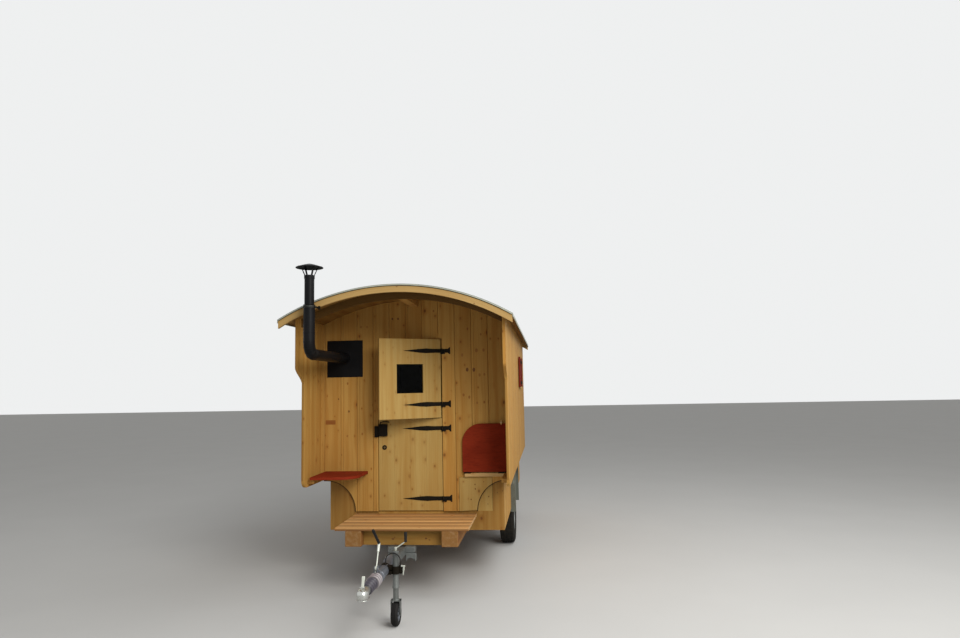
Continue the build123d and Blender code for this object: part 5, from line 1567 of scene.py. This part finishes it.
# %% Overrun housing
case_front, hitch_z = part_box("hitch_housing")[0].y, floor_z - 0.235
casing, details = Solid(), Solid()
square_z = hitch_z - 0.002
tube = [
    (case_front + 0.126, hitch_z, 0.0470, 0.0470, 2.0), (case_front + 0.180, hitch_z, 0.0470, 0.0470, 2.0),
    (case_front + 0.184, hitch_z, 0.0530, 0.0530, 2.0), (case_front + 0.204, hitch_z, 0.0530, 0.0530, 2.0),
    (case_front + 0.208, hitch_z, 0.0460, 0.0460, 2.0), (bar_front - 0.210, hitch_z, 0.0460, 0.0460, 2.0),
    (bar_front - 0.150, hitch_z, 0.0480, 0.0480, 2.4), (bar_front - 0.120, square_z, 0.0550, 0.0525, 5.0),
    (bar_front - 0.006, square_z, 0.0550, 0.0525, 6.0), (bar_front - 0.0005, square_z, 0.0510, 0.0490, 6.0)]
loft(casing, tube, 40)
web = [(0.0, 0.0), (0.300, 0.0), (0.300, 0.010), (0.050, 0.026), (0.012, 0.026)]
for side in (-1, 1):
    web_at = axes(INWARD, UP, RIGHT, (side * 0.026, case_front + 0.130, hitch_z + 0.034))
    casing.prism(web, -0.004, 0.004, at=web_at)
lever_y, lever_z = case_front + 0.120, hitch_z + 0.082
on_pin = lie((0, lever_y, lever_z), INWARD, RIGHT)
ear = [(-0.028, -0.045), (0.028, -0.045), (0.028, 0.004)]
ear += bow(0, 0.002, 0.028, 0.022, range(15, 166, 15)) + [(-0.028, 0.004)]
for low, high in ((-0.015, -0.0095), (0.0095, 0.015)):
    casing.prism(ear, low, high, at=on_pin)
for side in (-1, 1):
    span = sorted((side * 0.040, side * 0.054))
    casing.box(span, (bar_front - 0.150, bar_front - 0.060), (hitch_z - 0.008, hitch_z + 0.008))
casing.make("overrun_housing", casting, "hut", "cast_grey", bevel=0.0015, replaces=["hitch_housing"])
for y in (bar_front - 0.095, bar_front - 0.035):
    for x in (-0.032, 0.032):
        bolt(details, (x, y, hitch_z + 0.0495), UP, 0.010, 0.009)
    for side in (-1, 1):
        bolt(details, (side * 0.0545, y, hitch_z - 0.020), (side, 0, 0), 0.010, 0.008)
bolt(details, (0.0, case_front + 0.085, hitch_z + 0.055), UP, 0.005, 0.014, 14)
details.turned([(0, -0.017), (0.009, -0.017), (0.009, -0.0152), (0.006, -0.0152), (0.006, 0.0152),
                (0.009, 0.0152), (0.009, 0.019), (0, 0.019)], on_pin, 20)
details.make("overrun_bolts", bright, "hut", "galvanised")

# %% [markdown]
# The worn collar has three ridges, darker between them: grime and painted shade. The bellows is one
# profile whose radius follows a wave. Where the wave is low, the third number of the profile
# makes it dark: painted shade in the folds.

# %% Collar and bellows
ring, gaiter = Solid(), Solid()
# third numbers: grime and painted shade, darkest in the hollows between the ridges
ridges = [(0.036, -0.002, 1.0)]
for start in (0.0, 0.042, 0.084):
    ridges += [(0.0500, start - 0.001, 0.7), (0.0545, start + 0.003, 0.0), (0.0560, start + 0.008, 0.0),
               (0.0560, start + 0.018, 0.0), (0.0535, start + 0.020, 0.3), (0.0510, start + 0.021, 1.0),
               (0.0510, start + 0.040, 1.0)]
ring.turned(ridges + [(0.046, 0.128)], lie((0, case_front, hitch_z), RIGHT, INWARD), 44)
ring.make("housing_collar", worn_collar, "hut", "cast_grey", smooth=True)
fold_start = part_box("bellows")[0].y - 0.060
fold_long, fold_count, fold_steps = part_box("bellows")[1].y - fold_start, 4, 60
folds = []
for share in [k / fold_steps for k in range(fold_steps + 1)]:
    wave = 0.5 - 0.5 * cos(2 * pi * share * fold_count)
    radius = 0.0330 + 0.0135 * wave**1.4 + 0.002 * share
    # painted shade: the third number darkens the valleys of the folds
    folds.append((radius, share * fold_long, (1.0 - wave) ** 0.33))
gaiter.turned([(0, 0), *folds, (0, fold_long)], lie((0, fold_start, hitch_z), RIGHT, INWARD), 40)
gaiter.make("bellows_folds", bellows_rubber, "hut", "rubber", smooth=True, replaces=["bellows"])

# %% [markdown]
# ### The coupling head
# It is pressed from sheet and open below, so it is a lofted skin that gets a thickness. A rolled
# rim, the grip ridges on top, the handle's pivot and the handle are added to it.

# %% Coupling head
head_low, head_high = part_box("coupling_head")
tip, heel = head_low.y, head_high.y - 0.002
head, extras, grip = Solid(), Solid(), Solid()
shell_sections = [
    (0.0015, -0.010, 0.0140, 0.0200, 2.2), (0.006, -0.010, 0.0270, 0.0300, 2.2),
    (0.015, -0.008, 0.0365, 0.0360, 2.3), (0.030, -0.006, 0.0415, 0.0390, 2.4),
    (0.060, -0.004, 0.0420, 0.0385, 2.5), (0.090, -0.003, 0.0405, 0.0365, 2.6),
    (0.118, -0.001, 0.0360, 0.0345, 2.6), (0.135, 0.0, 0.0335, 0.0335, 2.3),
    (heel - tip, 0.0, 0.0330, 0.0330, 2.0)]
loft(head, [(tip + y, hitch_z + z, *shape) for y, z, *shape in shell_sections], 36, open_below=True)
shell = head.make("coupling_shell", bright, "hut", "cast_grey", smooth=True, replaces=["coupling_head"])
thicken(shell, 0.0045, -1.0)
rim_end = [(0.0385, tip + 0.118, hitch_z - 0.034), (0.0420, tip + 0.080, hitch_z - 0.0385)]
rim = [(-x, y, z) for x, y, z in rim_end]
rim += [(x, y, hitch_z - 0.0390) for x, y in bow(0, tip + 0.0430, -0.0425, -0.0410, range(0, 181, 12))]
extras.rod(rim + rim_end[::-1], 0.0036, 10)
for k in range(6):
    x, off = -0.030 + 0.012 * k, abs(k - 2.5)
    y, z = tip + 0.052 - 0.006 * off, hitch_z + 0.0330 - 0.0012 * off**1.5
    extras.rod([(x, y, z), (x, y + 0.036, z + 0.0035)], 0.0042, 8)
pivot = Vector((-0.012, tip + 0.092, hitch_z + 0.032))
extras.pin(0.007, -0.021, 0.021, lie(pivot + Vector((0, 0, 0.006)), INWARD, RIGHT))
extras.make("coupling_fittings", bright, "hut", "cast_grey", smooth=True)
upright = lie(pivot, RIGHT, (0.04, 0.25, 1))
outline = [(-0.0105, -0.006), (0.0105, -0.006), (0.0105, 0.008), (-0.0105, 0.008)]
grip.prism(outline, -0.004, 0.086, at=upright)
grip.prism([(x * 1.12, y * 1.15) for x, y in outline], 0.058, 0.089, at=upright)
grip.make("coupling_handle", pale_zinc, "hut", "cast_grey", bevel=0.0035)

# %% [markdown]
# ### The handbrake
# A short rod leans back from the pin and carries a long ribbed grip that points forward. Both
# ride on the lever's own body, so the joint takes them along.

# %% Handbrake lever
lever_way = Vector((0, 0.100, 0.190)).normalized()
grip_way = Vector((0, -0.210, 0.155)).normalized()
pin, elbow = Vector((0, lever_y, lever_z)), Vector((0, lever_y + 0.096, lever_z + 0.182))
rod, hold = Solid(), Solid()
rod.hoop(0.0065, 0.020, -0.008, 0.008, lie(pin, UP, RIGHT), 28)
stations = [pin + lever_way * v for v in (0.014, 0.134, 0.136)]
stations += [elbow - lever_way * 0.012, elbow, elbow + grip_way * 0.020]
rod.rod(stations, [0.0055, 0.0055, 0.0112, 0.0118, 0.0112, 0.0085], 16)
rod.make("handbrake_rod", pale_zinc, "handbrake", "galvanised", smooth=True, replaces=["handbrake_lever"])
ribs = [(0.006, 0.0095), (0.012, 0.0125), (0.020, 0.0100), (0.030, 0.0118), (0.040, 0.0104), (0.050, 0.0118),
        (0.060, 0.0104), (0.070, 0.0118), (0.080, 0.0104), (0.100, 0.0112), (0.120, 0.0118), (0.140, 0.0112),
        (0.160, 0.0108), (0.180, 0.0112), (0.200, 0.0118), (0.220, 0.0120), (0.236, 0.0118), (0.246, 0.0095),
        (0.250, 0.0040)]
hold.rod([elbow + grip_way * v for v, r in ribs], [r for v, r in ribs], 18)
hold.make("handbrake_grip", rubber, "handbrake", "rubber", smooth=True)

# %% [markdown]
# ### The jockey wheel
# A pipe in a pipe stands in a clamp at the side of the housing. Below it a fork of two cheeks
# holds the roller's pin. The roller rides on a body of its own and so does the crank.

# %% Jockey post and fork
post_x, post_y, post_top = 0.098, bar_front - 0.300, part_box("jockey_tube")[1].z
fork_top, roller_z = 0.216, 0.100
post_foot = standing(post_x, post_y)
post = Solid()
post.turned([(0.0100, post_top - 0.050), (0.0100, post_top), (0.0240, post_top), (0.0290, post_top - 0.004),
             (0.0300, post_top - 0.012), (0.0300, post_top - 0.020), (0.0275, post_top - 0.026),
             (0.0275, 0.330), (0.0300, 0.325), (0.0300, 0.312), (0.0240, 0.308),
             (0.0240, fork_top + 0.006), (0.0290, fork_top), (0, fork_top)], post_foot, 36)
cheek = [(-0.030, 0.0), (0.030, 0.0), (0.026, -0.060)]
cheek += bow(0, -0.116, 0.018, -0.018, range(0, 181, 18)) + [(-0.026, -0.060)]
for side in (-1, 1):
    post.prism(cheek, -0.003, 0.003, at=axes(INWARD, UP, RIGHT, (post_x + side * 0.039, post_y, fork_top)))
post.box((post_x - 0.042, post_x + 0.042), (post_y - 0.030, post_y + 0.030), (fork_top - 0.008, fork_top))
post.pin(0.009, -0.046, 0.046, lie((post_x, post_y, roller_z), INWARD, RIGHT))
post.make("jockey_post", zinc, "hut", "galvanised", smooth=True, replaces=["jockey_tube"])

# %% Jockey clamp
jaw, tee = Solid(), Solid()
reach = 0.160
for z in (hitch_z - 0.032, hitch_z + 0.006):
    jaw.box((0.0420, post_x - 0.0290), (post_y - 0.044, post_y + 0.036), (z, z + 0.026))
jaw.hoop(0.0302, 0.0375, -0.032, 0.032, Matrix.Translation((post_x, post_y, hitch_z)))
for y in (post_y - 0.016, post_y + 0.004):
    jaw.box((post_x + 0.036, reach - 0.006), (y, y + 0.008), (hitch_z - 0.030, hitch_z + 0.030))
jaw.hoop(0.0465, 0.0520, -0.030, 0.030, lie((0, post_y, hitch_z), RIGHT, INWARD), 44)
jaw.make("jockey_clamp", black, "hut", "galvanised", bevel=0.0015)
tee_x, tee_y = reach + 0.012, post_y - 0.022
tee.rod([(tee_x + x, tee_y, hitch_z + 0.036) for x in (-0.022, 0.012)], 0.0075, 14)
tee.rod([(tee_x + x, tee_y, hitch_z + z) for x, z in ((0.0, 0.040), (-0.002, 0.0), (-0.006, -0.040))],
        [0.0095, 0.0070, 0.0045], 14)
tee.rod([(tee_x - 0.003, tee_y, hitch_z), (tee_x - 0.003, post_y + 0.016, hitch_z)], 0.0055)
tee.make("jockey_clamp_handle", pale_zinc, "hut", "galvanised", smooth=True)

# %% Jockey roller
roller, hub = Solid(), Solid()
half = (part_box("jockey_wheel")[1].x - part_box("jockey_wheel")[0].x) / 2
spin = lie((post_x, post_y, roller_z), UP, RIGHT)
profile = [(0.062, 0.006 - half), (0.068, -half), (0.086, 0.0005 - half), (0.096, 0.008 - half),
           (0.0990, 0.016 - half)]
profile += [(0.0995, -0.0085), (0.0965, -0.0075), (0.0965, -0.0045), (0.0995, -0.0035)]
profile += [(r, -w) for r, w in profile[::-1]]
roller.turned(profile + profile[:1], spin, 56)
roller.make("jockey_tyre", rubber, "jockey_roller", "rubber", smooth=True, replaces=["jockey_wheel"])
hub_half = [(0.0095, -0.029), (0.020, -0.029), (0.022, -0.012), (0.054, -0.010), (0.058, -0.022),
            (0.0640, -0.024)]
hub.turned(hub_half + [(r, -w) for r, w in hub_half[::-1]] + hub_half[:1], spin, 48)
hub.make("jockey_hub", casting, "jockey_roller", "cast_grey", smooth=True)

# %% Crank of the jockey wheel
crank, knob = Solid(), Solid()
arm_out = 0.088
spindle = [(0, -0.029), (0.0089, -0.029), (0.0089, 0.006), (0.0110, 0.008), (0.0110, 0.026), (0.0080, 0.029),
           (0, 0.029)]
crank.turned([(r, post_top + z) for r, z in spindle], post_foot, 24)
bend = ((0.0, 0.017), (0.010, 0.024), (0.078, 0.070), (0.086, 0.078), (arm_out, 0.092))
crank.rod([(post_x + x, post_y, post_top + z) for x, z in bend], 0.0055, 14)
crank.make("jockey_crank_arm", pale_zinc, "crank", "galvanised", smooth=True, replaces=["jockey_crank"])
handle = [(0, 0.0), (0.0100, 0.0), (0.0135, 0.004), (0.0120, 0.016), (0.0125, 0.045), (0.0140, 0.070),
          (0.0135, 0.082), (0.0080, 0.086), (0, 0.086)]
knob.turned([(r, post_top + 0.070 + z) for r, z in handle], standing(post_x + arm_out, post_y), 24)
knob.make("jockey_crank_grip", rubber, "crank", "rubber", smooth=True)

# %% [markdown]
# A small repair plug is let into the left wall, redder than the boards round it. Damage and
# mends like this one tell a real hut from a drawing.

# %% Repair plug
plug = Solid()
plug.box((-0.999, -0.888), (front - 0.0008, front + 0.004), (floor_z + 0.934, floor_z + 0.981), 0.9)
plug_wood = timber("repair plug", (0.275, 0.105, 0.026), (0.235, 0.082, 0.018), (0.150, 0.046, 0.010),
                   along="X", knots=0.0, tone=0.0)
plug.make("repair_plug", plug_wood, "hut", "spruce", bevel=0.0003)

# %% [markdown]
# ## Camera, light and floor
# The camera repeats the view that was fitted to the photograph: its place from the front wall
# and the floor, its three turns, and its focal length in pixels of the picture's width. The light
# is a plain soft studio: an even pale world, one large soft lamp from the front right, because
# the hut is brighter on that side, a weaker one from above, and a pale floor. Camera, glossy and
# transmission rays see the backdrop's own pale colour.

# %% Camera
yaw, pitch, roll = radians(5.45), radians(5.59), radians(-1.08)
eye = Vector((1.441, front - 7.469, floor_z + 1.319))
focal_pixels, picture_wide, sensor_wide = 690, 960, 36.0
ahead = Vector((-sin(yaw), cos(yaw), 0))
right = Vector((cos(yaw), sin(yaw), 0))
up = Vector(UP)
look = ahead * cos(pitch) + up * sin(pitch)
lift = up * cos(pitch) - ahead * sin(pitch)
image_x = right * cos(roll) + lift * sin(roll)
image_y = lift * cos(roll) - right * sin(roll)
camera_data = bpy.data.cameras.new("camera")
camera_data.sensor_fit, camera_data.sensor_width = "HORIZONTAL", sensor_wide
camera_data.lens = focal_pixels / picture_wide * sensor_wide
camera = bpy.data.objects.new("camera", camera_data)
bpy.context.collection.objects.link(camera)
camera.matrix_world = Matrix.Translation(eye) @ Matrix((image_x, image_y, -look)).transposed().to_4x4()
scene = bpy.context.scene
scene.camera = camera
print("lens", round(camera_data.lens, 2), "mm")

# %% World
scene.view_settings.view_transform = "Standard"
scene.world = bpy.data.worlds.new("studio")
scene.world.use_nodes = True


class Studio(Finish):
    """The world's nodes, which are made and linked like those of a material."""

    def __init__(self, world):
        self.tree = world.node_tree
        self.tree.nodes.clear()


studio = Studio(scene.world)
soft = studio.node("Background", inputs={"Color": (1.0, 0.99, 0.97, 1.0), "Strength": 0.42})
seen = studio.node("Background", inputs={"Color": (0.86, 0.87, 0.87, 1.0), "Strength": 1.0})
straight, through, mirrored = [
    studio.node("LightPath", out="Is " + ray + " Ray") for ray in ("Camera", "Transmission", "Glossy")]
direct = straight.maths("MAXIMUM", straight, through)
direct = direct.maths("MAXIMUM", direct, mirrored)
shown = studio.node("MixShader", inputs={0: direct, 1: soft, 2: seen})
studio.node("OutputWorld", inputs={"Surface": shown})
print("world:", len(studio.tree.nodes), "nodes")


# %% Lamps and floor
def lamp(name, place, aim, power, colour, size=5.0):
    """A large square soft lamp that points at a spot."""
    data = bpy.data.lights.new(name, "AREA")
    data.shape, data.size, data.energy, data.color = "SQUARE", size, power, colour
    thing = bpy.data.objects.new(name, data)
    bpy.context.collection.objects.link(thing)
    thing.location = place
    thing.rotation_euler = (Vector(aim) - Vector(place)).to_track_quat("-Z", "Y").to_euler()
    print(name, power, "W")


lamp("soft_right", (5.5, -8.2, 6.4), (0.0, -0.6, 1.4), 840, (1.0, 0.98, 0.94))
lamp("soft_top", (4.0, -2.0, 8.2), (0.2, 0.2, 1.5), 260, (0.97, 0.985, 1.0))

f = Finish("pale floor")
cloud = f.noise(f.point(*f.place()), 0.8)
floor_finish = f.finish(f.mix(cloud, (0.50, 0.50, 0.49), (0.54, 0.54, 0.53)), 0.85, shine=0.2)
floor_half = 60
corners = [(x * floor_half, y * floor_half, 0) for x, y in ((-1, -1), (1, -1), (1, 1), (-1, 1))]
mesh = bpy.data.meshes.new("studio_floor")
mesh.from_pydata(corners, [], [(0, 1, 2, 3)])
mesh.materials.append(floor_finish)
ground = bpy.data.objects.new("studio_floor", mesh)
ground.location.z = -0.001
bpy.context.collection.objects.link(ground)
ground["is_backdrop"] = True

# %% [markdown]
# ## The imported pieces that stay
# Arches, straps, panes, sheet and axle already have their right shape, so they keep their meshes
# and only get a finish; the rib's and the panes' finishes carry painted shade.

# %% Finishes of the imported pieces
wears = {
    arch_wood: ("fascia_front", "fascia_rear"), rib_wood_painted_shade: ("arch_rib",), spruce: ("front_wall_under_door",),
    spruce_y: ("ridge_purlin",), roof_metal: ("roof_sheet",), flue_black: ("flue_plate", "flue_pipe"),
    glass: ("door_pane", "window_pane_right", "window_pane_left"), zinc: ("axle",), rubber: ("brake_cable",),
    black: ("strap_lower_bottom", "strap_lower_top", "strap_upper_bottom", "strap_upper_top", "hinge_plates"),
    guard_paint: ("wheel_housing_right", "wheel_housing_left"),
}
for finish, nodes in wears.items():
    for node in nodes:
        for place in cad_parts[node].material_slots:
            place.material = finish
        print(node, "wears", finish.name)

# %% Close
low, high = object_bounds()
sizes = {"cad": [list(cad_low), list(cad_high)], "visual": [list(low), list(high)]}
print("visual box", [round(v, 3) for v in (*low, *high)])
